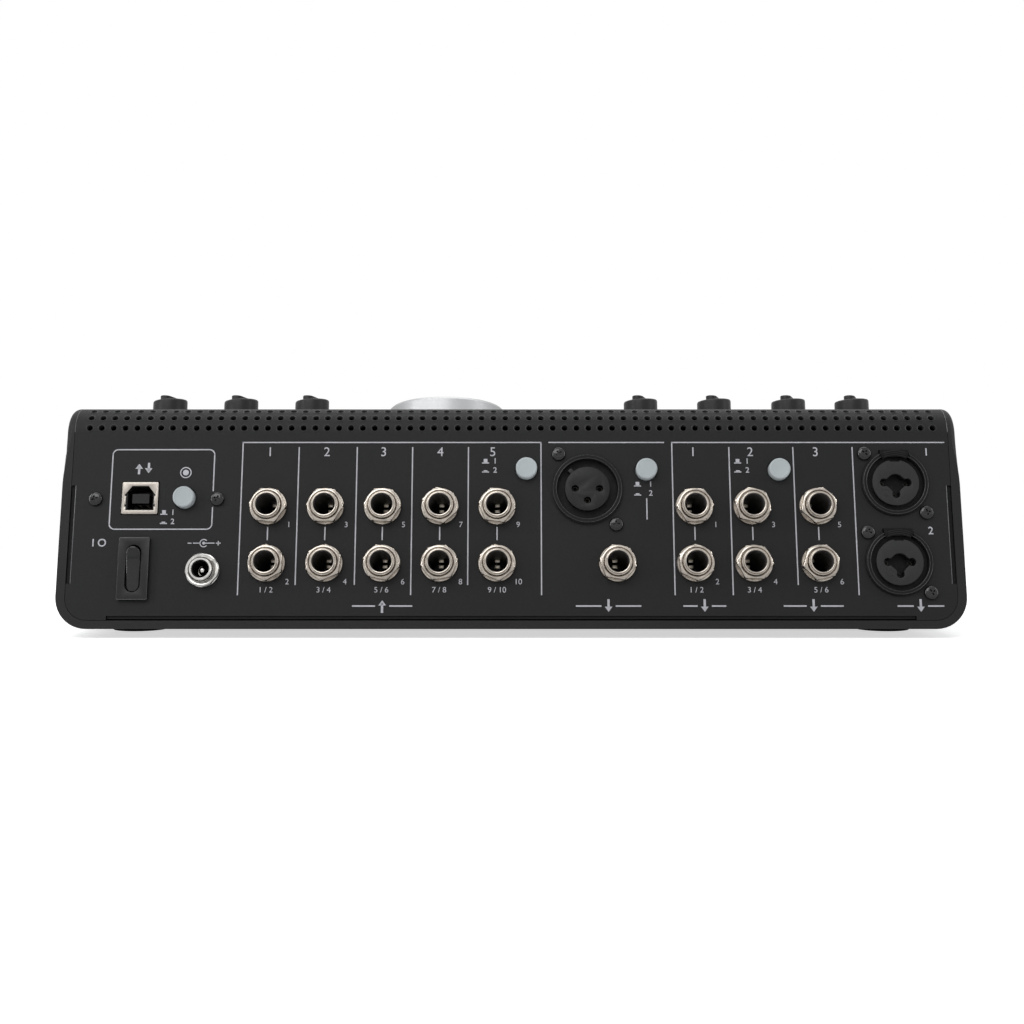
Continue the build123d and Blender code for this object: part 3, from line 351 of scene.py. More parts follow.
print("plastics:", len([m for m in bpy.data.materials if "plastic" in m.name]))

# %% [markdown]
# ## Rubber feet
# Rubber scatters light almost evenly and picks up lint. A high roughness and a slightly browner second tone
# say both, and a coarse soft bump says that it was moulded and not machined.

# %% Rubber
rubber_finish = finish("foot_rubber", (0.017, 0.0165, 0.016), (0.7, 0.9), vary=0.2, grain=700,
                       grain_depth=0.00006, grain_strength=0.3, specular=0.3)[0]
print("made", rubber_finish.name)

# %% [markdown]
# ## Metals
# Nickel on a nut is bright and slightly yellow beside chrome. Handling leaves faint smears, so its gloss
# wanders. Zinc is duller, and black oxide on the screws is hardly a metal to look at: dark, with an oily
# sheen on its edges, which a coat gives.

# %% Metal finishes
metal_grain, metal_grain_depth = 1200, 0.00001


def metal(name, color, rough, vary=0.06, strength=0.1, blotch=220):
    """Bare or plated metal."""
    return finish(name, color, rough, 1.0, vary, metal_grain, metal_grain_depth, strength, blotch)[0]


nickel_finish = metal("nickel_plate", (0.43, 0.39, 0.345), (0.12, 0.26), 0.26, blotch=420)
screw_finish = finish("black_oxide", (0.012, 0.012, 0.0125), (0.18, 0.32), 1.0, 0.1, metal_grain,
                      metal_grain_depth, coat=0.8)[0]
# The pocket contacts are plated metal painted nearly black, as shade deep in their pockets.
shaded_pocket_finish = metal("shaded_pocket_contact", (0.05, 0.048, 0.044), (0.35, 0.5))
inlet_finish = metal("bright_nickel", (0.6, 0.59, 0.57), (0.1, 0.22), 0.2, blotch=500)
shell_finish = metal("shell_plate", (0.33, 0.305, 0.275), (0.34, 0.46), 0.03, strength=0.05)
bracket_finish = metal("dark_phosphate", (0.012, 0.012, 0.0125), (0.7, 0.85))
zinc_finish = metal("zinc_plate", (0.5, 0.5, 0.49), (0.3, 0.45))
contact_finish = metal("contact_spring", (0.62, 0.56, 0.47), (0.3, 0.45))
brass_finish = metal("post_brass", (0.62, 0.45, 0.2), (0.28, 0.42))
tin_finish = metal("tin_plate", (0.45, 0.45, 0.45), (0.35, 0.5))
capsule_finish = metal("capsule_aluminium", (0.5, 0.5, 0.5), (0.35, 0.5))
print("metals:", [m.name for m in (nickel_finish, screw_finish, zinc_finish, brass_finish)])

# %% [markdown]
# ## Turned aluminium
# The big knob is turned from aluminium, and the tool leaves rings on its face that bend the highlights. A
# Wave texture draws such rings about the Z axis through the origin, but the knob stands elsewhere and
# leans. So a Mapping node of the Texture type is given the knob's own place and turn, which carries the
# pattern there. The place comes from the joint, and the pattern stays centred if the knob moves.

# %% Satin skin of the volume knob
mark_spacing, mark_depth = 420, 0.00002


def turned_aluminium(center):
    """Satin aluminium with fine turning marks about an axis, given as a matrix in metres."""
    material, shader = finish("satin_aluminium", (0.43, 0.435, 0.44), (0.42, 0.54), 1.0, 0.02,
                              grain_depth=metal_grain_depth, grain_strength=0.1, blotch=60)
    nodes, links = material.node_tree.nodes, material.node_tree.links
    place = nodes.new("ShaderNodeTexCoord")
    mapping = nodes.new("ShaderNodeMapping")
    mapping.vector_type = "TEXTURE"
    mapping.inputs["Location"].default_value = center.translation
    mapping.inputs["Rotation"].default_value = center.to_euler()
    marks = nodes.new("ShaderNodeTexWave")
    marks.wave_type = "RINGS"
    marks.rings_direction = "Z"
    marks.inputs["Scale"].default_value = mark_spacing
    marks.inputs["Distortion"].default_value = 0.6
    marks.inputs["Detail Scale"].default_value = 60
    links.new(place.outputs["Object"], mapping.inputs["Vector"])
    links.new(mapping.outputs["Vector"], marks.inputs["Vector"])
    bump(material, shader, marks.outputs["Fac"], 0.12, mark_depth)
    return material


volume_finish = turned_aluminium(face_matrix(on_top, top_right, top_up).normalized())
print("made", volume_finish.name)

# %% [markdown]
# ## Boards, lamps and print
# Circuit boards are glass fibre under green lacquer, so they are glossy with a faint weave. Lamp lenses are
# tinted and lit from behind only when the unit is on, and here it is off. The screened ink on the panel is
# pale lavender grey, a little rough and never pure white.

# %% Board, lens and ink finishes
acrylic_index = 1.49


def tinted_glass(name, color, rough, through, specular=0.5):
    """A lens that lets part of the light through."""
    material, shader = finish(name, color, rough, vary=0.05, grain=500, grain_strength=0.05,
                              specular=specular)
    shader.inputs["Transmission Weight"].default_value = through
    shader.inputs["IOR"].default_value = acrylic_index
    return material


board_finish = finish("board_lacquer", (0.012, 0.075, 0.03), (0.25, 0.4), vary=0.15, grain=1100,
                      coat=0.3)[0]
lamp_finish = tinted_glass("lamp_lens", (0.2, 0.42, 0.24), (0.12, 0.22), 0.35)
window_finish = tinted_glass("meter_window", (0.03, 0.03, 0.032), (0.42, 0.5), 0.6, 0.15)
segment_finish = finish("meter_segment", (0.1, 0.2, 0.11), (0.3, 0.45), vary=0.1)[0]
ink_finish = finish("screened_ink", (0.44, 0.44, 0.47), (0.5, 0.7), vary=0.1, grain=3500, blotch=400,
                    grain_strength=0.15)[0]
print("finishes in all:", len(bpy.data.materials))

# %% [markdown]
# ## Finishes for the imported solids
# Each CAD solid is one object with its own material slots. Giving the slots a new finish changes how the
# solid looks without touching its mesh. One table keeps every node and its finish together, so a forgotten
# node is easy to see: the loop prints any that are left plain.

# %% Dress the CAD nodes
small_knobs = [name for name in frame["nodes"]
               if name.endswith(("_knob", "_knob_1", "_knob_2")) and name != "volume_knob"]
keys = [name for name in frame["nodes"] if name.endswith("_key") or "_key_" in name]
node_finishes = {
    tray_finish: ["tray"],
    cover_finish: ["cover"],
    rubber_finish: ["rubber_feet"],
    zinc_finish: ["tray_screws"],
    screw_finish: ["panel_screws"],
    bracket_finish: ["fixing_brackets"],
    socket_finish: ["output_socket_bodies", "input_socket_bodies", "phones_socket_bodies", "usb_insert"],
    ring_finish: ["mic_shell", "combo_shells"],
    insert_finish: ["mic_insert"],
    grey_insert_finish: ["combo_inserts"],
    latch_finish: ["combo_latch_1", "combo_latch_2"],
    bezel_finish: ["power_bezel"],
    rocker_finish: ["power_rocker"],
    nickel_finish: ["output_socket_bushes", "input_socket_bushes", "phones_socket_bushes",
                    "output_socket_nuts", "input_socket_nuts", "phones_socket_nuts", "usb_shell",
                    "dc_socket"],
    button_finish: ["record_source_button", "output_level_button", "talkback_source_button",
                    "input_level_button"],
    switch_finish: ["rear_switches", "key_switches"],
    board_finish: ["boards"],
    brass_finish: ["board_posts"],
    tin_finish: ["potentiometers", "volume_potentiometer"],
    knob_finish: small_knobs,
    volume_finish: ["volume_knob"],
    key_finish: keys,
    lamp_finish: ["key_lamps"],
    window_finish: ["meter_window"],
    segment_finish: ["meter_lamps"],
    capsule_finish: ["talkback_microphone"],
}
dressed = set()
for material, names in node_finishes.items():
    for name in names:
        for slot in frame["nodes"][name].material_slots:
            slot.material = material
        dressed.add(name)
print("nodes without a finish:", sorted(set(frame["nodes"]) - dressed))

# %% [markdown]
# ## Shaping pieces
# New pieces are drawn in millimetres around their own middle, with the way out as Z. Most of them are
# lathe work, so the first helper spins an outline. The second makes a plain block. Both can end in a bevel,
# because no real edge is perfectly sharp and the light catches on the rounded strip.

# %% Helpers for shapes
def soften(bm, edges, width, segments=2):
    """Bevels edges with a round profile."""
    bmesh.ops.bevel(bm, geom=edges, offset=width, offset_type="OFFSET", segments=segments, profile=0.5,
                    affect="EDGES", clamp_overlap=True, material=-1)


def spun(profile, steps=48, arc=360.0):
    """Turns an open outline of (radius, height) points about Z, as on a lathe."""
    bm = bmesh.new()
    verts = [bm.verts.new((r, 0, z)) for r, z in profile]
    edges = [bm.edges.new(pair) for pair in zip(verts, verts[1:])]
    whole = arc >= 360.0
    bmesh.ops.spin(bm, geom=verts + edges, cent=(0, 0, 0), axis=(0, 0, 1), angle=radians(arc), steps=steps,
                   use_merge=whole)
    bmesh.ops.remove_doubles(bm, verts=bm.verts, dist=0.0005)
    bmesh.ops.recalc_face_normals(bm, faces=bm.faces)
    return bm


def slab(width, height, low, high, bevel=0.0, segments=2):
    """A block between two heights, with its edges softened where asked."""
    bm = bmesh.new()
    bmesh.ops.create_cube(bm, size=1.0)
    bmesh.ops.scale(bm, vec=(width, height, high - low), verts=bm.verts)
    bmesh.ops.translate(bm, vec=(0, 0, (low + high) / 2), verts=bm.verts)
    if bevel:
        soften(bm, bm.edges[:], bevel, segments)
    return bm


print("faces of a block and of a softened one:", [len(slab(1, 1, 0, 1, edge).faces) for edge in (0, 0.1)])

# %% [markdown]
# ## Placing pieces
# A finished shape is moved into place by one of the face matrices. That way a nut is drawn once and set
# down many times. The place goes into the mesh and the object stays at the origin, as the CAD solids do,
# so grain never slides off a piece. Each object then rides on a body: on the case, or on the part that moves.

# %% Helpers for placing
def gathered(parts):
    """Joins (bmesh, matrix) pairs into one bmesh."""
    whole = bmesh.new()
    for bm, place in parts:
        mesh = bpy.data.meshes.new("part")
        bm.to_mesh(mesh)
        bm.free()
        mesh.transform(place)
        whole.from_mesh(mesh)
        bpy.data.meshes.remove(mesh)
    return whole


def settle(parts, name, material, body="case", smooth=40.0, replaced=()):
    """Makes one object of placed shapes, gives it its finish and rides it on its body."""
    mesh = bpy.data.meshes.new(name)
    bm = gathered(parts)
    bm.to_mesh(mesh)
    bm.free()
    mesh.materials.append(material)
    for polygon in mesh.polygons:
        polygon.use_smooth = True
    mesh.set_sharp_from_angle(angle=radians(smooth))
    piece = bpy.data.objects.new(name, mesh)
    bpy.context.scene.collection.objects.link(piece)
    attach(piece, body)
    if replaced:
        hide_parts(*replaced)
    print("made", name, "with", len(mesh.polygons), "faces")


print("placing helpers ready")

# %% [markdown]
# ## Socket nuts
# A socket is held by a flanged hex nut. The real one starts as a turned blank with a coned face, and six
# flats are milled on it afterwards; where the flats meet the cone they leave the six arcs that make a nut
# look like a nut. The mesh goes the same way: spin a profile, then cut six flats with bisect_plane, which
# slices a mesh along a plane and can throw one side away. A bevelled hexagon would be quicker, but it has
# no arcs.

# %% One nut
nut_corner = 6.12
nut_flat = 5.5
nut_flat_edge = 0.07
nut_bore = 4.72
nut_top = 3.3
flange_radius = 6.35
flange_top = 0.9


def with_flats(bm, distance, count, turn=0.0, edge=0.0):
    """Cuts flats on a round piece, all at the same distance from its axis."""
    for i in range(count):
        angle = radians(turn + 360 * i / count)
        normal = Vector((cos(angle), sin(angle), 0))
        everything = bm.verts[:] + bm.edges[:] + bm.faces[:]
        cut = bmesh.ops.bisect_plane(bm, geom=everything, plane_co=normal * distance, plane_no=normal,
                                     clear_outer=True)
        rim = [item for item in cut["geom_cut"] if isinstance(item, bmesh.types.BMEdge)]
        bmesh.ops.contextual_create(bm, geom=rim)
        if edge:
            soften(bm, rim, edge, 2)
    return bm


def hex_nut():
    """A coned hexagon with a round bore, on a round flange."""
    blank = spun([(nut_bore, flange_top), (nut_corner, flange_top), (nut_corner, nut_top - 0.55),
                  (nut_flat - 0.1, nut_top), (nut_bore + 0.3, nut_top), (nut_bore, nut_top - 0.3),
                  (nut_bore, flange_top)])
    flange = spun([(nut_bore, 0.0), (flange_radius - 0.12, 0.0), (flange_radius, 0.12),
                   (flange_radius, flange_top - 0.3), (flange_radius - 0.25, flange_top),
                   (nut_bore, flange_top)])
    return gathered([(with_flats(blank, nut_flat, 6, edge=nut_flat_edge), unmoved), (flange, unmoved)])


print("a nut has", len(hex_nut().faces), "faces")

# %% [markdown]
# The bush inside each nut is a threaded tube with a narrower collar at its mouth. Only the last turn of its thread
# stands above the nut, and a stack of low ridges looks the same as a true helix there. A liner starts just under
# the collar's lip and goes down to the blind end of the bore. Its plastic is a mid grey, painted far lighter than
# the black socket bodies, as the light that reaches into the bore. Two bent contact springs look in from one side.

# %% One bush, its liner and its contacts
bush_radius = 4.58
bush_shoulder = 3.85
bush_top = 4.7
collar_radius = 4.12
bore_radius = 3.6
bore_depth = 22.9
liner_wall = 0.08
panel_sheet = 1.5
thread_turns, thread_pitch, thread_depth = 6, 0.62, 0.14
contact_tilt = 6.0


def thread_outline():
    """The outside of the bush from the sheet up: flat crests with shallow grooves between them."""
    root = bush_radius - thread_depth
    outline = [(bush_radius, -panel_sheet)]
    for turn in range(thread_turns):
        start = 0.1 + turn * thread_pitch
        outline += [(root, start), (bush_radius, start + 0.2)]
        outline += [(bush_radius, start + 0.36), (root, start + 0.56)]
    return outline


def bush():
    """Threaded tube with a collar, open at both ends."""
    shoulder = [(bush_radius - 0.12, bush_shoulder), (collar_radius + 0.08, bush_shoulder)]
    collar = [(collar_radius, bush_shoulder + 0.08), (collar_radius, bush_top - 0.14)]
    lip = [(collar_radius - 0.05, bush_top - 0.04), (collar_radius - 0.15, bush_top)]
    lip += [(bore_radius + 0.2, bush_top), (bore_radius + 0.06, bush_top - 0.05)]
    bore = [(bore_radius, bush_top - 0.2), (bore_radius, -panel_sheet)]
    return spun([(bore_radius, -panel_sheet)] + thread_outline() + shoulder + collar + lip + bore)


def liner():
    """Thin sleeve that lines the bore from just under the lip to its blind end."""
    mouth = bush_top - 0.35
    inside = bore_radius - liner_wall
    return spun([(bore_radius - 0.005, mouth), (inside, mouth), (inside, -bore_depth), (0.0, -bore_depth)],
                40)


def contact_tab():
    """The bent end of a contact spring: a small plate with rounded edges that faces the mouth."""
    tab = slab(1.9, 1.35, -0.5, 0.0, 0.4, 4)
    tab.transform(rolled(contact_tilt, "X"))
    return tab


print("bush faces:", len(bush().faces), "contact faces:", len(contact_tab().faces))

# %% [markdown]
# Setting the sockets down is a loop over the places that the record gave. Each nut stops at another angle,
# as real ones do. All nuts of one group become one object, because they are one part in the frame too, and
# that object stands for the plainer CAD nuts. The headphone sockets at the front are mounted a little
# deeper, so their collars pass the nuts by less.

# %% Set the sockets down
nut_angles = (25, 30, 27, 12, 22, 0, 54, 18, 40, 8, 33, 15, 48, 5, 28, 44, 20)
phones_nut_angles = (10, 35)
phones_sink = -0.7
contact_depth = -13.0
contact_heights = (2.95, 0.95)
groups = (
    ("output_socket", REAR, output_places, nut_angles[:10], 0.0),
    ("input_socket", REAR, input_places, nut_angles[10:], 0.0),
    ("phones_socket", FRONT, phones_places, phones_nut_angles, phones_sink),
)
for group, face, places, angles, sink in groups:
    spots = [at(face, *place) for place in places]
    bottoms = [spot @ moved(0, 0, sink) for spot in spots]
    settle([(hex_nut(), spot @ rolled(angle)) for spot, angle in zip(spots, angles)], group + "_nut_set",
           nickel_finish, replaced=[group + "_nuts"])
    settle([(bush(), bottom) for bottom in bottoms], group + "_bush_set", nickel_finish,
           replaced=[group + "_bushes"])
    # The liners' finish is painted lighter than the socket plastic, as light inside the bores.
    settle([(liner(), bottom) for bottom in bottoms], group + "_liners", lightened_bore_finish)
    settle([(contact_tab(), spot @ moved(0, height, contact_depth))
            for spot in spots for height in contact_heights],
           group + "_contacts", contact_finish)

# %% [markdown]
# ## Pan-head screws
# Small black screws hold the round sockets and the sheet, and zinc ones close the case from below. The head
# is a lathe shape; the cross in it is cut by a Boolean with two crossed, tapered bars. A Boolean is the
# straight way to cut one solid with another, and since the cut head is copied for every screw it is made
# only once.

# %% One cross-head screw
head_radius = 2.35
head_height = 1.3
head_outline = ((0.93, 0.68), (0.76, 0.87), (0.5, 0.97))
cross_depth = 0.85
cross_width = 0.62
cross_reach = 0.62
cross_taper_x, cross_taper_y = 0.55, 0.7
screw_radius = 1.45
screw_length = 6.0


def mesh_of(bm, name):
    """A linked object that holds a bmesh for a moment."""
    mesh = bpy.data.meshes.new(name)
    bm.to_mesh(mesh)
    bm.free()
    obj = bpy.data.objects.new(name, mesh)
    bpy.context.scene.collection.objects.link(obj)
    return obj


def cross_cutter(reach, top):
    """Two crossed bars that narrow downwards."""
    parts = []
    for turn in (0, 90):
        bar = slab(2 * reach, cross_width, top - cross_depth, top + 1.0)
        for vert in bar.verts:
            if vert.co.z < top:
                vert.co.x *= cross_taper_x
                vert.co.y *= cross_taper_y
        parts.append((bar, rolled(turn)))
    return gathered(parts)


def cross_screw(radius, height):
    """Pan head with a cross recess, over a plain shank."""
    shank = [(0.0, -screw_length), (screw_radius - 0.3, -screw_length), (screw_radius, -screw_length + 0.4),
             (screw_radius, 0.0)]
    rim = [(radius - 0.08, 0.0), (radius, 0.1), (radius, 0.45 * height)]
    dome = [(across * radius, up * height) for across, up in head_outline] + [(0.0, height)]
    solid = mesh_of(spun(shank + rim + dome, 32), "screw_solid")
    cutter = mesh_of(cross_cutter(cross_reach * radius, height), "screw_cutter")
    cut = solid.modifiers.new("cross", "BOOLEAN")
    cut.operation = "DIFFERENCE"
    cut.solver = "EXACT"
    cut.use_self = True
    cut.object = cutter
    shown = solid.evaluated_get(bpy.context.evaluated_depsgraph_get())
    bm = bmesh.new()
    bm.from_mesh(shown.to_mesh())
    for obj in (solid, cutter):
        bpy.data.objects.remove(obj)
    return bm


panel_screw = cross_screw(head_radius, head_height)
print("one screw has", len(panel_screw.faces), "faces")

# %% [markdown]
# The screws are set where the frame has them. Their places follow from the sockets that they hold: each
# round socket has two, on a diagonal, and the sheet has one on each side of the small data socket. No two
# crosses stop at the same angle.

# %% Set the screws down
mic_place = (25.4, 46.9)
mic_screw_step = (9.5, 12.0)
combo_screw_step = (9.9, 10.1)
sheet_screws = ((-138.6, 43.5), (-98.0, 43.5))
screw_turns = (20, 65, 35, 5, 50, 15, 75, 30)


def diagonal(middle, step):
    """Upper left and lower right of a place."""
    return [(middle[0] - step[0], middle[1] + step[1]), (middle[0] + step[0], middle[1] - step[1])]


screw_places = list(sheet_screws) + diagonal(mic_place, mic_screw_step)
for place in combo_places:
    screw_places += diagonal(place, combo_screw_step)
settle([(panel_screw.copy(), at(REAR, *place, turn=turn)) for place, turn in zip(screw_places, screw_turns)],
       "panel_screw_set", screw_finish, smooth=35, replaced=["panel_screws"])

# %% [markdown]
# The tray is closed by four zinc screws from below, and their heads lie sunk in the floor. The same helper
# makes them: only the numbers and the face differ. Their places come from the box of the CAD screws, which
# reaches from the outer edge of one head to the outer edge of the next.

# %% Screws under the tray
tray_head = 2.5
low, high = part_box("tray_screws")
tray_screw = cross_screw(tray_head - 0.1, head_height)
facing_down = moved(0, 0, low.z) @ rolled(180, "X") @ Matrix.Scale(MM, 4) @ moved(0, 0, -head_height)
settle([(tray_screw.copy(), moved(x, y) @ facing_down)
        for x in (low.x + tray_head * MM, high.x - tray_head * MM)
        for y in (low.y + tray_head * MM, high.y - tray_head * MM)],
       "tray_screw_set", zinc_finish, smooth=35, replaced=["tray_screws"])

# %% [markdown]
# ## Flat plates with openings
# Several pieces are plates with an odd opening: the face of the data socket, the switch housing. The outline
# and the opening are drawn as two closed rows of edges, triangle_fill covers the space between them, an
# extrusion gives the thickness and a bevel breaks the rims. Drawing the outlines first keeps full control of
# every corner, where a Boolean would leave slivers to clean up.

# %% Plate helpers
def oblong(width, height, corner, steps=6):
    """Points of a rectangle with round corners."""
    points = []
    for sx, sy, start in ((1, 1, 0), (-1, 1, 90), (-1, -1, 180), (1, -1, 270)):
        for i in range(steps + 1):
            angle = radians(start + 90 * i / steps)
            points.append((sx * (width / 2 - corner) + corner * cos(angle),
                           sy * (height / 2 - corner) + corner * sin(angle)))
    return points


def loop(bm, points, height):
    """Draws a closed row of edges through the points."""
    verts = [bm.verts.new((x, y, height)) for x, y in points]
    for pair in zip(verts, verts[1:] + verts[:1]):
        bm.edges.new(pair)


def is_rim(edge, high):
    """Whether an edge lies on the upper face of a plate and turns down there."""
    if len(edge.link_faces) != 2 or any(vert.co.z <= high - 0.001 for vert in edge.verts):
        return False
    one, other = edge.link_faces
    return abs(one.normal.z - other.normal.z) > 0.5


def plate(outlines, low, high, bevel=0.0, segments=2):
    """A plate between two heights, bounded by the first outline and open inside the others."""
    bm = bmesh.new()
    for points in outlines:
        loop(bm, points, low)
    bmesh.ops.remove_doubles(bm, verts=bm.verts, dist=0.001)
    bmesh.ops.triangle_fill(bm, edges=bm.edges[:], use_beauty=True)
    raised = bmesh.ops.extrude_face_region(bm, geom=bm.faces[:])["geom"]
    top_verts = [item for item in raised if isinstance(item, bmesh.types.BMVert)]
    bmesh.ops.translate(bm, vec=(0, 0, high - low), verts=top_verts)
    bmesh.ops.recalc_face_normals(bm, faces=bm.faces)
    bmesh.ops.dissolve_limit(bm, angle_limit=radians(1), verts=bm.verts, edges=bm.edges)
    if bevel:
        soften(bm, [edge for edge in bm.edges if is_rim(edge, high)], bevel, segments)
    return bm


print("a plain plate has", len(plate([oblong(10, 5, 1)], 0, 1).faces), "faces")

# %% [markdown]
# ## Data socket
# The plated shell of a type B socket shows a bright face with a plug-shaped opening. Its upper corners are
# cut off so that the plug goes in one way only, and two pairs of small cuts beside the opening free the
# springs that hold the plug. Inside, a black block carries a tongue with four contact strips. The opening
# is the same on both sides, so one half is written down and the other is its mirror image.

# %% Data socket
usb_here = at(REAR, -123.7, 43.8)
half_opening = [(4.65, -4.1), (4.65, -2.9), (5.05, -2.9), (5.05, -2.2), (4.65, -2.2), (4.65, 0.7),
                (5.05, 0.7), (5.05, 1.4), (4.65, 1.4), (4.65, 1.6), (2.75, 4.1)]
usb_opening = half_opening + [(-x, y) for x, y in reversed(half_opening)]
shell_face = plate([oblong(12.04, 10.9, 0.5), usb_opening], -1.5, 0.5, 0.14)
settle([(shell_face, usb_here)], "usb_face", shell_finish, smooth=30, replaced=["usb_shell"])
strip_depth = -7.8
settle([(slab(0.9, 6.0, -0.04, 0.04, 0.02, 1), usb_here @ moved(x, y, strip_depth) @ rolled(90, "X"))
        for x in (-1.25, 1.25) for y in (1.62, -1.62)], "usb_strips", contact_finish)
tongue_end = plate([oblong(5.2, 2.9, 0.2)], -4.35, -4.25, 0.03)
settle([(tongue_end, usb_here)], "usb_tongue_end", tongue_finish)

# %% [markdown]
# ## Power inlet
# The inlet is a threaded barrel with a ring nut. Its bore is lined with black plastic, a flat spring waits on
# one side, and the centre pin ends well below the mouth so that nothing can short it. The nut is turned and
# gets its flats from the same helper as the socket nuts.

# %% Power inlet
inlet_here = at(REAR, -101.9, 19.4)
inlet_bore, inlet_mouth, inlet_depth = 2.9, 4.3, -7.1
ring_bore, ring_rim = 4.15, 5.55
washer_top = 0.5
ring_nut = spun([(ring_bore, washer_top), (5.4, washer_top), (ring_rim, 0.65), (ring_rim, 1.9), (5.2, 2.2),
                 (4.55, 2.2), (ring_bore, 1.95), (ring_bore, washer_top)], 72)
washer = spun([(ring_bore, 0.0), (5.45, 0.0), (ring_rim, 0.1), (ring_rim, 0.4), (5.45, washer_top),
               (ring_bore, washer_top), (ring_bore, 0.0)], 64)
inlet_thread = [(4.0 + 0.1 * (i % 2), 2.0 + 0.22 * i) for i in range(9)]
inlet_lip = [(3.85, 4.05), (3.6, inlet_mouth), (3.05, inlet_mouth), (inlet_bore, 4.12)]
barrel = spun([(inlet_bore, 0.0), (3.95, 0.0)] + inlet_thread + inlet_lip + [(inlet_bore, 0.0)], 64)
pin = spun([(1.0, inlet_depth), (1.0, 0.7), (0.93, 1.0), (0.7, 1.2), (0.0, 1.28)], 32)
spring = slab(1.7, 6.0, -0.14, 0.14, 0.06)
spring_place = moved(0.4, -2.45, -1.6) @ rolled(98, "X")
wire = spun([(1.5, -1.2), (1.75, -0.9), (1.95, -1.2), (1.75, -1.5), (1.5, -1.2)], 20, 150)
inlet_parts = ((with_flats(ring_nut, 5.3, 6, 20), unmoved), (washer, unmoved), (barrel, unmoved),
               (pin, unmoved), (spring, spring_place), (wire, rolled(105)))
settle([(bm, inlet_here @ place) for bm, place in inlet_parts], "inlet", inlet_finish,
       smooth=35, replaced=["dc_socket"])
inlet_lining = spun([(inlet_bore + 0.01, 3.4), (inlet_bore - 0.2, 3.4), (inlet_bore - 0.2, inlet_depth),
                     (0.0, inlet_depth)])
settle([(inlet_lining, inlet_here)], "inlet_lining", socket_finish)

# %% [markdown]
# ## Power switch
# A narrow rocker sits in a long round-ended well. The housing's rim is broken by a small bevel. A polished frame
# round it, glossy and painted twice as light as the housing as a highlight, is what shows as a thin light line
# along one side.

# %% Housing of the power switch
bezel_here = at(REAR, -124.6, 19.9)
bezel_width, bezel_length, bezel_top = 10.1, 20.8, 1.5
well_width, well_length, well_corner = 5.1, 15.9, 2.549
well_depth = -6.0
well = oblong(well_width, well_length, well_corner, 12)
sleeve_outline = oblong(well_width + 1, well_length + 1, well_corner + 0.5, 12)
rim_plate = plate([oblong(bezel_width, bezel_length, 0.45), well], 0.0, bezel_top, 0.24, 3)
sleeve = plate([sleeve_outline, well], well_depth, 0.02)
well_floor = plate([well], well_depth - 0.2, well_depth + 0.1)
settle([(bm, bezel_here) for bm in (rim_plate, sleeve, well_floor)], "switch_housing", bezel_finish,
       smooth=35, replaced=["power_bezel"])
# The frame is painted lighter than the housing, as a painted highlight on its rim.
edge_outline = oblong(bezel_width + 0.02, bezel_length + 0.02, 0.45)
inner_outline = oblong(bezel_width - 0.35, bezel_length - 0.35, 0.35)
edge_frame = plate([edge_outline, inner_outline], bezel_top - 0.2, bezel_top + 0.02, 0.06)
settle([(edge_frame, bezel_here)], "switch_edge", edge_highlight_finish)

# %% [markdown]
# The rocker itself is a curved grid. Its outline is squeezed to round ends, its face is slightly hollow and
# falls away at the edges, its border is extruded down to give it sides, and holes_fill closes it below. The
# rows of the grid are drawn closer together near the ends, where the outline curves most.

# %% Rocker
paddle_length, paddle_width, paddle_thick = 15.2, 4.7, 5.4
paddle_hollow, paddle_fall = 0.5, 0.45
rocker_tilt = 8.0
rocker_shift, rocker_sink = -0.07, -0.6


def paddle():
    """Round-ended paddle with a soft, slightly hollow face."""
    bm = bmesh.new()
    bmesh.ops.create_grid(bm, x_segments=28, y_segments=60, size=0.5)
    half, radius = paddle_length / 2, paddle_width / 2
    for vert in bm.verts:
        across, along = vert.co.x * 2, vert.co.y * 2
        y = copysign(half * (1 - max(0.0, 1 - abs(along)) ** 1.5), along)
        past = max(0.0, abs(y) - (half - radius))
        reach = max(0.02, radius * radius - past * past) ** 0.5
        near_edge = max(abs(across), min(1.0, past / radius) ** 2)
        drop = paddle_hollow * (1 - (y / half) ** 2) + paddle_fall * near_edge ** 5
        vert.co = (across * reach, y, paddle_thick / 2 - drop)
    border = [edge for edge in bm.edges if len(edge.link_faces) == 1]
    sides = bmesh.ops.extrude_edge_only(bm, edges=border)["geom"]
    for vert in (item for item in sides if isinstance(item, bmesh.types.BMVert)):
        vert.co.z = -paddle_thick / 2
    bmesh.ops.holes_fill(bm, edges=bm.edges[:])
    bmesh.ops.recalc_face_normals(bm, faces=bm.faces)
    return bm


rocker_here = bezel_here @ moved(rocker_shift, 0, rocker_sink) @ rolled(rocker_tilt, "X")
settle([(paddle(), rocker_here)], "rocker_paddle", rocker_finish, body="rocker",
       smooth=60, replaced=["power_rocker"])

# %% [markdown]
# ## Rims of the round sockets
# Three-pin sockets are all rims: a bevelled flange, a lighter inner edge, a deep ring-shaped groove and a flush
# insert. Beads a quarter of a millimetre thick along the edges hold the highlights that a mathematically sharp
# edge never shows. Their plastic is painted several times lighter than the rim's, as a painted highlight, and the
# lighter inner edge is such a bead. A groove's lining is a short open lathe shape.

# %% Beads, tubes and ring gaps
def bead(radius, out, thick, arc=360.0):
    """A thin ring of round section, or part of one."""
    section = [(radius + thick * cos(radians(a)), out + thick * sin(radians(a))) for a in range(0, 361, 45)]
    return spun(section, 64, arc)


def tube(inner, outer, low, high, steps=32):
    """A short tube with a rounded mouth."""
    edge = (outer - inner) * 0.3
    return spun([(inner, low), (outer, low), (outer, high - edge), (outer - edge, high), (inner + edge, high),
                 (inner, high - edge), (inner, low)], steps)


def gap_above(arc):
    """Turns an open ring so that its gap faces up."""
    return rolled(90 + (360 - arc) / 2)


def centred_above(arc):
    """Turns a short arc so that its middle faces up."""
    return rolled(90 - arc / 2)


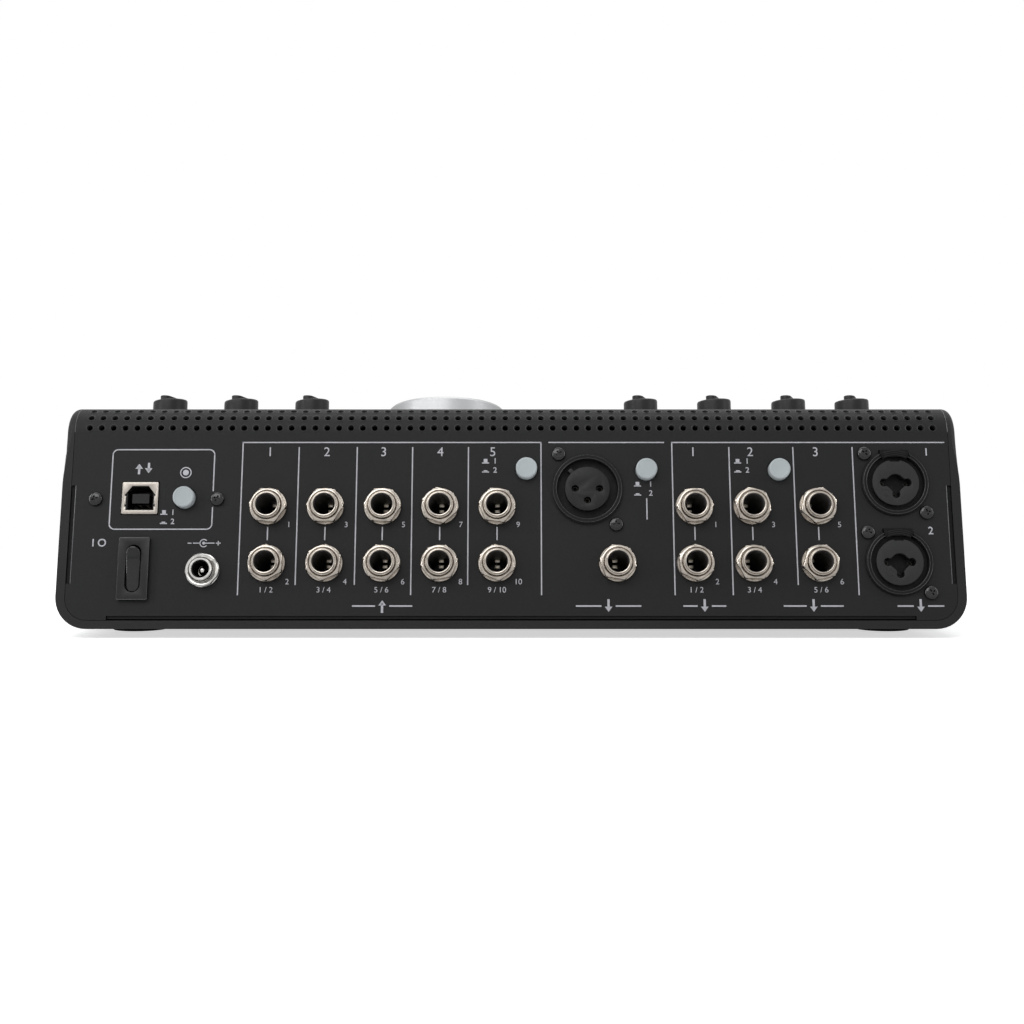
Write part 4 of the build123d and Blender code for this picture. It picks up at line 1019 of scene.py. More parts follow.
mic_here = at(REAR, *mic_place)
settle([(bead(11.42, 1.36, 0.13), mic_here), (bead(10.38, 1.34, 0.14), mic_here),
        (bead(11.86, 0.7, 0.09), mic_here)], "mic_beads", bead_highlight_finish)
mic_lining = spun([(10.29, 1.0), (10.1, 0.4), (10.0, -1.3), (7.2, -1.3)], 72)
settle([(mic_lining, mic_here)], "mic_lining", lining_finish)

# %% [markdown]
# ## Microphone socket
# The insert is a disc with three holes and a small key on its rim that turns the plug the right way. It is a plate
# with four outlines. Each contact hole has a dark pocket behind it, lined by a plated tube that sits below the
# face. The tube's metal is painted nearly black, as the shade deep in the pocket.

# %% Insert of the microphone socket
mic_face = 1.15
mic_disc_radius = 7.45
mic_holes = [(4.05, 0), (-4.05, 0), (0, -3.95)]
mic_key_angle = 42


def turned_outline(radius, steps=72, notch=None, sunk=0.6, half=11.0):
    """A circle of points, with one shallow notch where asked, half as many degrees to each side."""
    points = []
    for i in range(steps):
        angle = 360 * i / steps
        in_notch = notch is not None and abs((angle - notch + 180) % 360 - 180) < half
        r = radius - (sunk if in_notch else 0)
        points.append((r * cos(radians(angle)), r * sin(radians(angle))))
    return points


def round_hole(x, y, radius, steps=24):
    """A circle of points about a place."""
    return [(x + radius * cos(tau * i / steps), y + radius * sin(tau * i / steps)) for i in range(steps)]


mic_outlines = [turned_outline(mic_disc_radius)] + [round_hole(x, y, 1.2) for x, y in mic_holes]
mic_disc = plate(mic_outlines, -1.4, mic_face, 0.1)
mic_key = slab(1.5, 2.6, -1.3, mic_face - 0.2, 0.2)
pocket_outline = [(1.25, mic_face - 0.3), (1.25, -3.0), (0.0, -3.0)]
mic_parts = [(mic_disc, unmoved), (mic_key, rolled(mic_key_angle) @ moved(0, 7.6))]
mic_parts += [(spun(pocket_outline, 24), moved(x, y)) for x, y in mic_holes]
settle([(bm, mic_here @ place) for bm, place in mic_parts], "mic_face", insert_finish,
       smooth=35, replaced=["mic_insert"])
settle([(tube(0.62, 0.95, -2.9, -0.6), mic_here @ moved(x, y)) for x, y in mic_holes], "mic_contacts",
       shaded_pocket_finish)

# %% [markdown]
# ## Combination sockets
# These take either a three-pin plug or a quarter-inch one. A sprung tab at the top lets the three-pin plug
# go. It is a curved face with three ridges for the thumb, and both ride on the tab's own body, so they
# travel with it.

# %% Release tabs
latch_arc = 52
latch_top = 1.25
ridge_out = 1.24
ridges = ((9.45, 44), (10.1, 42), (10.75, 40))


def ridge(radius, arc):
    """A small raised arc about the socket's middle."""
    return spun([(radius - 0.2, ridge_out - 0.15), (radius - 0.12, ridge_out + 0.08),
                 (radius + 0.12, ridge_out + 0.08), (radius + 0.2, ridge_out - 0.15)], 20, arc)


for index, place in enumerate(combo_places):
    here = at(REAR, *place)
    latch = f"latch_{index + 1}"
    latch_face = spun([(9.0, 0.8), (9.0, 1.16), (9.12, latch_top), (10.95, latch_top), (11.1, 1.1),
                       (11.1, 0.8)], 20, latch_arc)
    settle([(latch_face, here @ centred_above(latch_arc))], f"latch_face_{index + 1}", latch_finish,
           body=latch)
    # The ridges are painted lighter than the tab, as a highlight along each.
    settle([(ridge(radius, arc), here @ centred_above(arc)) for radius, arc in ridges],
           f"latch_ribs_{index + 1}", rib_highlight_finish, body=latch)

# %% [markdown]
# The insert serves both plugs, so it has three contact slots that open into a round bore. That opening is
# one outline, found by walking round the circle: at each angle it reaches as far as the farthest shape
# there, be it the bore, a slot or the flared neck between them. The ring groove stays open behind the tab,
# because the tab slides through there when it is pressed.

# %% Inserts of the combination sockets
combo_face = 1.1
combo_back = combo_face - 0.6
combo_radius = 7.8
bore_reach = 2.9
lobe_angles = (0, 180, 270)
lobe_reach, lobe_radius = 3.95, 1.35
neck_angle, neck_flare = 38, 0.75
bead_arc, groove_arc = 306, 292
rivet_place = moved(-3.35, -3.45)


def lobe_edge(off):
    """How far the opening reaches at an angle off the middle of a slot, in radians."""
    side = lobe_reach * sin(off)
    if abs(off) < pi / 2 and abs(side) < lobe_radius:
        return lobe_reach * cos(off) + (lobe_radius ** 2 - side ** 2) ** 0.5
    return bore_reach + neck_flare * max(0.0, 1 - abs(degrees(off)) / neck_angle)


def clover():
    """The opening for both plugs: a round bore joined to three contact slots by flared necks."""
    points = []
    for i in range(120):
        angle = 3.0 * i
        reach = max(lobe_edge(radians((angle - lobe + 180) % 360 - 180)) for lobe in lobe_angles)
        reach = max(reach, bore_reach)
        points.append((reach * cos(radians(angle)), reach * sin(radians(angle))))
    return points


def on_both(parts):
    """The same parts, copied onto both combination sockets."""
    return [(bm.copy(), at(REAR, *place) @ spot) for place in combo_places for bm, spot in parts]


print("the opening has", len(clover()), "points")

# %% [markdown]
# Every part below is made once and copied onto both sockets. The well behind the clover is a wall with the
# same opening and a floor, in a darker finish than the face, because little light gets down there.

# %% Faces, wells and contacts of the combination sockets
# The beads are painted lighter than the rim, as highlights along its edges.
combo_beads = [(bead(10.72, 1.27, 0.12, bead_arc), gap_above(bead_arc)),
               (bead(9.78, 1.24, 0.13, bead_arc), gap_above(bead_arc))]
settle(on_both(combo_beads), "combo_beads", bead_highlight_finish)
groove_wall = spun([(9.69, 0.9), (9.55, 0.3), (9.5, -0.9)], 64, groove_arc)
groove_floor = spun([(9.5, -0.9), (7.2, -0.9)], 64)
settle(on_both([(groove_wall, gap_above(groove_arc)), (groove_floor, unmoved)]), "combo_grooves",
       lining_finish)
disc = plate([turned_outline(combo_radius, 90, 90), clover()], combo_back, combo_face, 0.18, 3)
settle(on_both([(disc, unmoved)]), "combo_faces", grey_insert_finish, smooth=35,
       replaced=["combo_inserts"])
well_wall = plate([oblong(15.0, 15.0, 7.49, 12), clover()], -2.7, combo_back)
well_bottom = spun([(5.6, -2.6), (0.0, -2.6)])
settle(on_both([(well_bottom, unmoved), (well_wall, unmoved)]), "combo_wells", lining_finish,
       smooth=35)
rivet_head = spun([(0.0, combo_face + 0.06), (0.7, combo_face + 0.02), (0.72, combo_face - 0.1)], 24)
settle(on_both([(bead(1.12, combo_face - 0.02, 0.1), rivet_place), (rivet_head, rivet_place)]),
       "combo_rivets", grey_insert_finish)
# The contact tubes' metal is painted nearly black, as the shade at the bottom of the slots.
lobe_tubes = [(tube(0.5, 0.8, -2.6, -2.2, 24), rolled(lobe) @ moved(lobe_reach, 0)) for lobe in lobe_angles]
settle(on_both(lobe_tubes), "combo_contacts", shaded_pocket_finish)

# %% [markdown]
# ## Push buttons
# Each rear button is a turned cap with a chamfer and a very shallow dish, so a slightly darker ring runs
# round a flat middle. The caps ride on the buttons' own bodies and so go in when the buttons are pressed.

# %% Button caps
button_places = {"record_source_button": (-108.9, 43.9), "output_level_button": (5.1, 53.8),
                 "talkback_source_button": (45.2, 53.5), "input_level_button": (89.6, 53.5)}
button_cap = [(0.0, -6.0), (3.55, -6.0), (3.55, 2.2), (3.5, 2.37), (3.38, 2.51), (3.0, 2.62), (2.86, 2.62),
              (2.78, 2.57), (2.6, 2.55), (0.0, 2.55)]
for name, place in button_places.items():
    settle([(spun(button_cap, 64), at(REAR, *place))], name + "_cap", button_finish, body=name + "_body",
           smooth=50, replaced=[name])

# %% [markdown]
# ## Pointer knobs
# Small knobs like these are one moulding: a skirt, a body that narrows a little, a top that leans a few
# degrees, and a bar across it that points at the scale. The body is turned first, and then the heights of
# its upper vertices are sheared to make the lean. The bar is a plate with a round tail and a narrow tip, and
# its top is sheared as well. A white line is filled into the bar. The places come from the joints: a knob
# turns about its own middle, and its pointer rests at seven o'clock.

# %% Pointer knobs
knob_joints = [name for name in joints if name.endswith("_turn") and "volume" not in name]
pointer_turn = -30.0
knob_profile = [(0.0, 0.6), (6.1, 0.5), (6.35, 0.62), (6.35, 1.4), (6.25, 1.52), (6.12, 1.56), (6.0, 4.4),
                (5.98, 6.9), (5.92, 7.3), (5.7, 7.6), (5.2, 7.78), (4.3, 7.95), (3.4, 8.07), (0.0, 8.1)]
bar_radius, bar_tail, bar_tip = 1.95, 2.25, (1.15, -5.45)
bar_top = 9.34


def sheared(bm, above, rise, along_x, along_y):
    """Lifts all vertices above a height by a slope."""
    for vert in bm.verts:
        if vert.co.z > above:
            vert.co.z += rise + along_x * vert.co.x + along_y * vert.co.y
    return bm


def knob_bar():
    """The pointer: a round tail and a narrow tip, with a nearly level top."""
    tail = [(bar_radius * cos(radians(a)), bar_tail + bar_radius * sin(radians(a)))
            for a in range(0, 181, 15)]
    tip_x, tip_y = bar_tip
    bar = plate([tail + [(-tip_x, tip_y), (tip_x, tip_y)]], 7.0, 9.0, 0.22, 3)
    return sheared(bar, 8.0, 0.3, 0.05, -0.012)


for joint in knob_joints:
    node = joint.removesuffix("_turn")
    here = at(TOP, *on_face(TOP, Vector(joints[joint]["pos_m"])), turn=pointer_turn)
    turned_body = sheared(spun(knob_profile, 64), 6.0, 0.35, 0.0, -0.12)
    settle([(turned_body, here), (knob_bar(), here)], node + "_cap", knob_finish, body=node + "_body",
           smooth=35, replaced=[node])
    mark_place = moved(0, -2.4, bar_top) @ Matrix.Rotation(-0.012, 4, "X")
    settle([(slab(0.55, 5.6, -0.03, 0.03, 0.02, 1), here @ mark_place)], node + "_mark", ink_finish,
           body=node + "_body")

# %% [markdown]
# ## Punched vents
# Powder coat builds up a little round each punched hole and into it, and that soft lip catches light. The lip's
# paint is also made twice as light as the cover's, as a painted highlight on each rim. The lips are lathe shapes
# of only fourteen steps, because there are over two hundred of them and each is only a few pixels wide. Their
# places follow the bend: rows a fixed step apart around its axis, which lies under the line where the planes of
# the rear and the top would meet.

# %% Vent lips
bend_radius = 10.5
rear_lean, top_slope = 13.0, 12.0
bend_turn = 90 - rear_lean + top_slope
bend_height = rear_height / MM - bend_radius * tan(radians(bend_turn / 2))
vent_rows, vent_columns = 3, 72
vent_pitch = 4.0
vent_first = 8.0
vent_step = degrees(vent_pitch / bend_radius)
vent_lip = [(1.34, 0.0), (1.08, 0.07), (0.9, -0.3), (0.88, -1.4)]


def bend_axis(right):
    """A place on the axis of the rear bend, facing as the rear panel does."""
    return at(REAR, right, bend_height, -bend_radius)


vent_lips = []
for row in range(vent_rows):
    for column in range(vent_columns):
        axis = bend_axis((column - (vent_columns - 1) / 2) * vent_pitch)
        lean = rolled(-(vent_first + row * vent_step), "X")
        vent_lips.append((spun(vent_lip, 14), axis @ lean @ moved(0, 0, bend_radius)))
settle(vent_lips, "vent_lips", lip_highlight_finish, smooth=60)

# %% [markdown]
# ## Edges of the sheet
# Long, shallow cut-backs run along both sides and the foot of the rear sheet, where it clears the tray while it is
# bent. Behind them lies the tray's own ledge, which keeps them from looking like open slots. It is a thin bar just
# under the paint, and its plastic is painted darker than the tray's, as the shade in the narrow gap. A fine bead
# runs along the sheet's edge beside each side cut-back and along the seam where the bend meets the cheeks. Its
# paint is about ten times lighter than the cover, a painted highlight, set on a rounded edge because a highlight
# needs one.

# %% Ledges painted in shade and edges painted as highlights
cheek_inside = 147.0
notch_middle, notch_length = 31.6, 33.0
foot_middle, foot_length = 3.98, 265.6
seam_radius, seam_arc, seam_start = 0.1, 62, 118
# The ledges are painted darker than the tray, as the shade in the narrow gaps.
ledges = [(slab(1.25, notch_length, -1.0, -0.7, 0.05, 1),
           at(REAR, side * (cheek_inside - 0.72), notch_middle)) for side in (-1, 1)]
ledges.append((slab(foot_length, 1.3, -1.0, -0.6, 0.05, 1), at(REAR, 0, foot_middle)))
settle(ledges, "tray_ledges", shaded_ledge_finish)

edges = []
for side in (-1, 1):
    cut_edge_highlight = slab(0.26, notch_length + 0.2, -0.4, 0.06, 0.08, 2)
    edges.append((cut_edge_highlight, at(REAR, side * (cheek_inside - 1.6), notch_middle)))
    section = [(bend_radius + seam_radius * cos(tau * i / 8), seam_radius * sin(tau * i / 8))
               for i in range(9)]
    seam = spun(section, 24, seam_arc)
    edges.append((seam, bend_axis(side * (cheek_inside - 0.12)) @ rolled(90, "Y") @ rolled(seam_start)))
settle(edges, "painted_highlight_edges", painted_highlight_finish)

# %% [markdown]
# ## Printed lines
# The panel is screen printed: frames round each group of sockets, short links between paired sockets, small
# pictures of a raised and a pressed button, and plain numbers. Ink is a few hundredths of a millimetre
# thick, so each line is a very thin slab laid on the paint. A texture could draw it as well, but a slab
# stays sharp from any distance. A curved line is a short cross-line swept about the middle of its arc.

# %% Helpers for lines
ink_thick = 0.05
line_width = 0.4


def turn_up(bm):
    """Makes flat faces look out of the panel."""
    bm.normal_update()
    down = [face for face in bm.faces if face.normal.z < 0]
    bmesh.ops.reverse_faces(bm, faces=down)


def line(start, end, width=line_width):
    """A printed line between two points, as a thin slab."""
    a, b = Vector(start), Vector(end)
    along, middle = b - a, (a + b) / 2
    angle = Vector((1, 0)).angle_signed(along) if along.length else 0.0
    bar = slab(along.length + width, width, 0, ink_thick)
    bar.transform(moved(middle.x, middle.y) @ Matrix.Rotation(-angle, 4, "Z"))
    return bar


def arc_line(middle, radius, start, end, width=line_width, steps=8):
    """A printed arc between two angles in degrees."""
    bm = bmesh.new()
    verts = [bm.verts.new((radius + side * width / 2, 0, ink_thick)) for side in (-1, 1)]
    edge = bm.edges.new(verts)
    bmesh.ops.spin(bm, geom=verts + [edge], cent=(0, 0, 0), axis=(0, 0, 1), angle=radians(end - start),
                   steps=steps)
    bm.transform(moved(*middle) @ rolled(start))
    bmesh.ops.recalc_face_normals(bm, faces=bm.faces)
    turn_up(bm)
    return bm


print("a line has", len(line((0, 0), (1, 0)).faces), "faces, an arc", len(arc_line((0, 0), 1, 0, 90).faces))

# %% [markdown]
# Numbers come from text objects that are turned into meshes. Only the font knows how wide a digit is, so
# the text is centred on its place, and its size is worked out from the height of a capital, which is 0.72
# of the font's size. Signs are put together from lines and small blocks.

# %% Helpers for numbers and signs
capital_share = 0.72
cap_width, cap_raised, cap_pressed = 1.25, 1.4, 0.6
arrow_half, arrow_back, arrow_shaft = 1.25, 1.7, 0.75


def number(text, right, up, height, bold=0.0):
    """A printed number, centred on a place; bold thickens its strokes."""
    curve = bpy.data.curves.new("number", "FONT")
    curve.body = text
    curve.size = height / capital_share
    curve.offset = bold
    curve.align_x = "CENTER"
    curve.align_y = "CENTER"
    obj = bpy.data.objects.new("number", curve)
    mesh = bpy.data.meshes.new_from_object(obj)
    bm = bmesh.new()
    bm.from_mesh(mesh)
    bpy.data.objects.remove(obj)
    bpy.data.meshes.remove(mesh)
    bmesh.ops.translate(bm, vec=(right, up, ink_thick), verts=bm.verts)
    turn_up(bm)
    return bm


def button_sign(right, up, pressed):
    """A little picture of a push button, raised or pressed, on its base line."""
    tall = cap_pressed if pressed else cap_raised
    cap = slab(cap_width, tall, 0, ink_thick)
    cap.transform(moved(right, up + tall / 2))
    return [line((right - 1.0, up), (right + 1.0, up), 0.36), cap]


def arrow(right, up, length, outwards):
    """A plain arrow that points up for a signal that leaves and down for one that comes in."""
    way = 1 if outwards else -1
    tip = up + way * length / 2
    back = tip - way * arrow_back
    shaft = line((right, up - way * length / 2), (right, up + way * length / 6), arrow_shaft)
    head = bmesh.new()
    corners = ((right - arrow_half, back), (right + arrow_half, back), (right, tip))
    head.faces.new([head.verts.new((x, y, ink_thick)) for x, y in corners])
    turn_up(head)
    return [shaft, head]


print("print helpers ready")

# %% [markdown]
# ## Print on the rear panel
# The frames follow the groups: ten outputs in five columns, the talkback corner, the sources and the two
# combination inputs. A line that only divides two columns stops a little short of the frame.

# %% Lines on the rear panel
frame_top, frame_low = 63.0, 11.4
inner_top, inner_low = 61.2, 14.8
link_low, link_high = 29.8, 33.9
across = ((-90.1, 10.0), (12.7, 51.2), (53.95, 145.4))
upright = ((-90.1, frame_top, frame_low), (10.0, frame_top, frame_low), (-71.2, inner_top, inner_low),
           (-51.7, inner_top, inner_low), (-33.1, inner_top, frame_low), (-14.35, inner_top, inner_low),
           (45.2, 43.6, 36.8), (53.95, frame_top, frame_low), (73.1, inner_top, frame_low),
           (94.6, inner_top, inner_low), (114.5, inner_top, frame_low))
rear_print = [line((left, frame_top), (right, frame_top)) for left, right in across]
rear_print += [line((right, top), (right, low)) for right, top, low in upright]
rear_print += [line((right, link_low), (right, link_high))
               for right, _ in output_places[:5] + input_places[:3]]
print("printed lines:", len(rear_print))

# %% [markdown]
# A rounded frame stands round the data socket and its button. Its right side is broken where a screw of the
# sheet sits on the line.

# %% Frame of the data socket
data_left, data_right, data_low, data_high = -133.6, -99.5, 33.3, 60.5
data_corner = 1.8
screw_gap = 2.9
screw_up = sheet_screws[1][1]
from_left, to_right = data_left + data_corner, data_right - data_corner
from_low, to_high = data_low + data_corner, data_high - data_corner
rear_print += [line((from_left, up), (to_right, up)) for up in (data_high, data_low)]
rear_print += [line((data_left, from_low), (data_left, to_high))]
rear_print += [line((data_right, from_low), (data_right, screw_up - screw_gap))]
rear_print += [line((data_right, screw_up + screw_gap), (data_right, to_high))]
corners = ((to_right, to_high), (from_left, to_high), (from_left, from_low), (to_right, from_low))
rear_print += [arc_line(middle, data_corner, 90 * i, 90 * i + 90) for i, middle in enumerate(corners)]
print("printed lines:", len(rear_print))

# %% [markdown]
# Each column carries its number above and the pair of channels below, and each socket its own small number
# at its lower right. Outputs and sources differ only in how many columns they have. The fifth output
# column's number stands a little to the left, to make room for a button.

# %% Numbers of the sockets
small, middling, large = 1.9, 2.6, 3.2
heading_up, pair_up = 59.6, 12.9
beside_socket, below_socket = 7.0, 6.2
for places, columns in ((output_places, 5), (input_places, 3)):
    for column in range(columns):
        right = places[column][0]
        aside = -1.5 if column == 4 else 0
        rear_print.append(number(str(column + 1), right + aside, heading_up, large))
        for row in range(2):
            up = places[column + columns * row][1] - below_socket
            rear_print.append(number(str(2 * column + row + 1), right + beside_socket, up, small))
        rear_print.append(number(f"{2 * column + 1} / {2 * column + 2}", right, pair_up, small))
for index, (right, up) in enumerate(combo_places):
    rear_print.append(number(str(index + 1), right + 11.0, up + 10.6, middling, 0.04))
print("pieces of print:", len(rear_print))

# %% [markdown]
# Beside each button two little pictures say what it selects when it is raised and when it is pressed. Under
# each group an arrow between two lines shows whether signals leave there or come in.

# %% Signs of the buttons and the groups
sign_step = 3.1
button_signs = ((-115.6, 38.35, -112.6), (-8.6, 55.9, -5.4), (42.2, 48.0, 46.6), (75.9, 55.9, 79.1))
for right, up, beside in button_signs:
    for row, pressed in enumerate((False, True)):
        sign_up = up - sign_step * row
        rear_print += button_sign(right, sign_up, pressed)
        rear_print.append(number(str(row + 1), beside, sign_up + 0.6, small, 0.03))
arrow_up, arrow_length, arrow_gap = 7.6, 3.8, 2.6
group_arrows = ((-42.4, 19.3, True), (32.0, 21.0, False), (63.6, 13.6, False), (99.4, 19.2, False),
                (134.6, 14.8, False))
for right, width, outwards in group_arrows:
    rear_print += arrow(right, arrow_up, arrow_length, outwards)
    for side in (-1, 1):
        ends = [(right + side * reach, arrow_up) for reach in (arrow_gap, width / 2)]
        rear_print.append(line(*ends, 0.5))
print("pieces of print:", len(rear_print))

# %% [markdown]
# The power switch has a stroke for on and a ring for off. The inlet has the usual drawing of its polarity:
# a dot for the pin inside an open ring for the sleeve, with plus and minus at the ends. A ring round a dot
# marks the button for recording, and two arrows the data socket. All print of the panel is one piece.

# %% Signs of the switch, the inlet and the data socket
thin = 0.32
rear_print.append(number("I O", -136.6, 28.6, middling, 0.05))
polarity = Vector((-101.9, 28.6))
rear_print += [arc_line(polarity, 1.25, 40, 320, thin, 14), arc_line(polarity, 0.25, 0, 360, 0.5, 14)]
for start, end in ((-3.4, -1.3), (0.4, 3.4), (-5.2, -4.2), (4.2, 5.4)):
    rear_print.append(line(polarity + Vector((start, 0)), polarity + Vector((end, 0)), thin))
rear_print.append(line(polarity + Vector((4.8, -0.6)), polarity + Vector((4.8, 0.6)), thin))
record = (-108.9, 52.6)
rear_print += [arc_line(record, 1.75, 0, 360, 0.36, 28), arc_line(record, 0.5, 0, 360, 1.0, 20)]
rear_print += arrow(-124.6, 54.0, 3.2, True) + arrow(-121.4, 54.0, 3.2, False)
settle([(bm, REAR) for bm in rear_print], "rear_print", ink_finish, smooth=20)

# %% [markdown]
# ## Print on the top
# Each small knob has a ring of ticks over its 300 degrees of travel, and the volume knob has a larger one
# with numbers from 0 to 10. The middles of the rings are read from the joints.

# %% Dials
travel = 300.0
first_tick = 240
fine = 0.3


def dial(middle, inner, outer, count):
    """Ticks from seven o'clock round to five o'clock, every fifth one longer."""
    ticks = []
    for i in range(count):
        angle = radians(first_tick - travel * i / (count - 1))
        way = Vector((cos(angle), sin(angle)))
        longer = 0.6 if i % 5 == 0 else 0.0
        ticks.append(line(Vector(middle) + way * inner, Vector(middle) + way * (outer + longer), fine))
    return ticks


top_print = []
for joint in knob_joints:
    right, up = on_face(TOP, Vector(joints[joint]["pos_m"]))
    top_print += dial((right, up), 7.5, 8.5, 11)
    top_print += [number("0", right - 5.6, up - 9.1, 1.6), number("10", right + 5.6, up - 9.1, 1.6)]
volume_right, volume_up = on_face(TOP, on_top)
top_print += dial((volume_right, volume_up), 24.2, 25.5, 31)
number_radius = 28.2
for value in range(11):
    angle = radians(first_tick - travel * value / 10)
    right, up = volume_right + number_radius * cos(angle), volume_up + number_radius * sin(angle)
    top_print.append(number(str(value), right, up, 2.2))
print("pieces of print on the top:", len(top_print))

# %% [markdown]
# Keys get a number or a plain sign: two rings for mono, a falling wedge for dim, a struck ring for mute, and
# three arcs of sound for talkback. A bracket under each row ties its keys together.

# %% Signs of the keys
sign_drop = 5.6
bracket_side, bracket_drop, bracket_tick = 7.0, 8.0, 2.4


def node_place(name):
    """The middle of a node's box, as right and up on the top."""
    low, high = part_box(name)
    return on_face(TOP, (low + high) / 2)


def ring(middle, radius, start=0, end=360):
    """A printed circle or part of one."""
    return arc_line(middle, radius, start, end, fine, 28)


for row, count in (("source_key", 4), ("monitor_key", 3)):
    for i in range(count):
        right, up = node_place(f"{row}_{i + 1}")
        top_print.append(number(str(i + 1), right, up - sign_drop, 2.0))
right, up = node_place("mono_key")
top_print += [ring((right + side * 0.55, up - sign_drop), 1.0) for side in (-1, 1)]
right, up = node_place("dim_key")
tip = (right + 1.9, up - sign_drop)
top_print += [line((right - 1.9, up - sign_drop + side * 0.8), tip, fine) for side in (1, -1)]
right, up = node_place("mute_key")
top_print.append(ring((right, up - sign_drop), 1.15))
top_print.append(line((right - 0.8, up - sign_drop - 0.8), (right + 0.8, up - sign_drop + 0.8), fine))
right, up = node_place("talkback_key")
top_print += [ring((right, up - 9.6), radius, 40, 140) for radius in (0.8, 1.6, 2.4)]

for first, last in (("source_key_1", "source_key_4"), ("monitor_key_1", "monitor_key_3"),
                    ("mono_key", "mute_key")):
    left, up = node_place(first)
    left, right, up = left - bracket_side, node_place(last)[0] + bracket_side, up - bracket_drop
    top_print += [line((left, up), (right, up)), line((left, up), (left, up + bracket_tick)),
                  line((right, up), (right, up + bracket_tick))]
print("pieces of print on the top:", len(top_print))

# %% [markdown]
# A scale of twelve ticks stands beside the level meter, with every third one numbered. It is drawn as high
# as the row of lamps, from the middle of the meter's window.

# %% Scale of the meter
scale_ticks, scale_half = 12, 25.0
meter_right, meter_up = node_place("meter_window")
for i in range(scale_ticks):
    up = meter_up - scale_half + 2 * scale_half * i / (scale_ticks - 1)
    top_print.append(line((meter_right - 9.2, up), (meter_right - 8.5, up), fine))
    if i % 3 == 2:
        top_print.append(number(str(i + 1), meter_right - 11.2, up, 1.8))
settle([(bm, TOP) for bm in top_print], "top_print", ink_finish, smooth=20)

# %% [markdown]
# ## Print on the front
# Each headphone socket has a number and a small drawing of headphones: half a ring for the headband and a
# thick short stroke at each end for the cups.

# %% Signs of the headphone sockets
band_radius = 1.6
front_print = []
for index, (right, up) in enumerate(phones_places):
    front_print.append(number(str(index + 1), right + 3.2, up + 10.2, 2.2))
    band = right - 1.4
    front_print.append(ring((band, up + 9.6), band_radius, 0, 180))
    for side in (-1, 1):
        cup = band + side * band_radius
        front_print.append(line((cup, up + 9.5), (cup, up + 8.8), 0.7))
settle([(bm, FRONT) for bm in front_print], "front_print", ink_finish, smooth=20)

# %% [markdown]
# ## Camera
# The camera looks almost straight at the rear of the case from half a metre away, a little above the bench,
# with a fifty millimetre lens. That is where a product photographer stands to show every socket face on.

# %% Camera
camera_offset = Vector((-0.27, 467.1, 50.18))
camera_dip = 1.45
camera_data = bpy.data.cameras.new("camera")
camera_data.lens = 50.27
camera_data.sensor_width = 36.0
camera_data.clip_end = 50.0
camera = bpy.data.objects.new("camera", camera_data)
camera.location = rear_origin + camera_offset * MM
camera.rotation_euler = (radians(90 - camera_dip), 0, radians(180))
bpy.context.scene.collection.objects.link(camera)
bpy.context.scene.camera = camera
print("camera at", [round(v, 3) for v in camera.location])

# %% [markdown]
# ## Light
# Dark, matte objects need large, soft sources: a small lamp would only show as a hot spot on each nut. One
# wide panel hangs above and behind the camera, a second one lights the top from the far side, and a long
# strip on each side draws the bright lines along the edges. The world fills the rest.

# %% Area lights
def area_light(name, place, target, width, height, power):
    """A soft rectangular light that looks at a point."""
    data = bpy.data.lights.new(name, "AREA")
    data.shape = "RECTANGLE"
    data.size = width
    data.size_y = height
    data.energy = power
    lamp = bpy.data.objects.new(name, data)
    lamp.location = place
    lamp.rotation_euler = (Vector(target) - Vector(place)).to_track_quat("-Z", "Y").to_euler()
    bpy.context.scene.collection.objects.link(lamp)


middle = (0, 0, 0.03)
area_light("key_panel", (0.35, 0.9, 0.95), middle, 0.9, 0.7, 6.0)
area_light("top_panel", (0, -0.25, 1.1), middle, 1.2, 0.8, 5.0)
area_light("left_strip", (0.9, 0.45, 0.4), middle, 0.07, 0.9, 2.6)
area_light("right_strip", (-1.0, 0.3, 0.35), middle, 0.08, 0.9, 1.8)
print("lights:", len(bpy.data.lights))

# %% [markdown]
# ## World
# The world is two things at once. To the camera, to mirrors and through glass it is plain white, as an
# endless paper backdrop would be. For soft light it is dimmer, so that shading stays under the control of
# the panels. Light Path tells the rays apart, and two Add nodes join its three answers.

# %% World
soft_fill = 0.35


def studio_world():
    """Plain white for sharp rays, a dim cool fill for soft light."""
    world = bpy.data.worlds.new("studio")
    world.use_nodes = True
    nodes, links = world.node_tree.nodes, world.node_tree.links
    nodes.clear()
    path = nodes.new("ShaderNodeLightPath")
    seen = path.outputs["Is Camera Ray"]
    for kind in ("Is Glossy Ray", "Is Transmission Ray"):
        either = nodes.new("ShaderNodeMath")
        either.operation = "ADD"
        either.use_clamp = True
        links.new(seen, either.inputs[0])
        links.new(path.outputs[kind], either.inputs[1])
        seen = either.outputs[0]
    fill = nodes.new("ShaderNodeBackground")
    fill.inputs["Color"].default_value = (0.95, 0.97, 1.0, 1)
    fill.inputs["Strength"].default_value = soft_fill
    white = nodes.new("ShaderNodeBackground")
    white.inputs["Color"].default_value = (1, 1, 1, 1)
    white.inputs["Strength"].default_value = 1.0
    mix = nodes.new("ShaderNodeMixShader")
    links.new(seen, mix.inputs["Fac"])
    links.new(fill.outputs[0], mix.inputs[1])
    links.new(white.outputs[0], mix.inputs[2])
    out = nodes.new("ShaderNodeOutputWorld")
    links.new(mix.outputs[0], out.inputs["Surface"])
    return world


bpy.context.scene.world = studio_world()
print("world nodes:", len(bpy.context.scene.world.node_tree.nodes))

# %% [markdown]
# ## Floor
# The floor is white paper. Lit paper reads a little grey, so part of its colour comes from an emission that
# only the camera sees; the rest is diffuse and keeps the shadow that ties the case to the bench. Away from
# the case the paper fades into plain white, so that no horizon shows behind it.

# %% Paper
paper_white, paper_glow = 0.88, 0.62
fade_start, fade_end = 0.25, 0.6


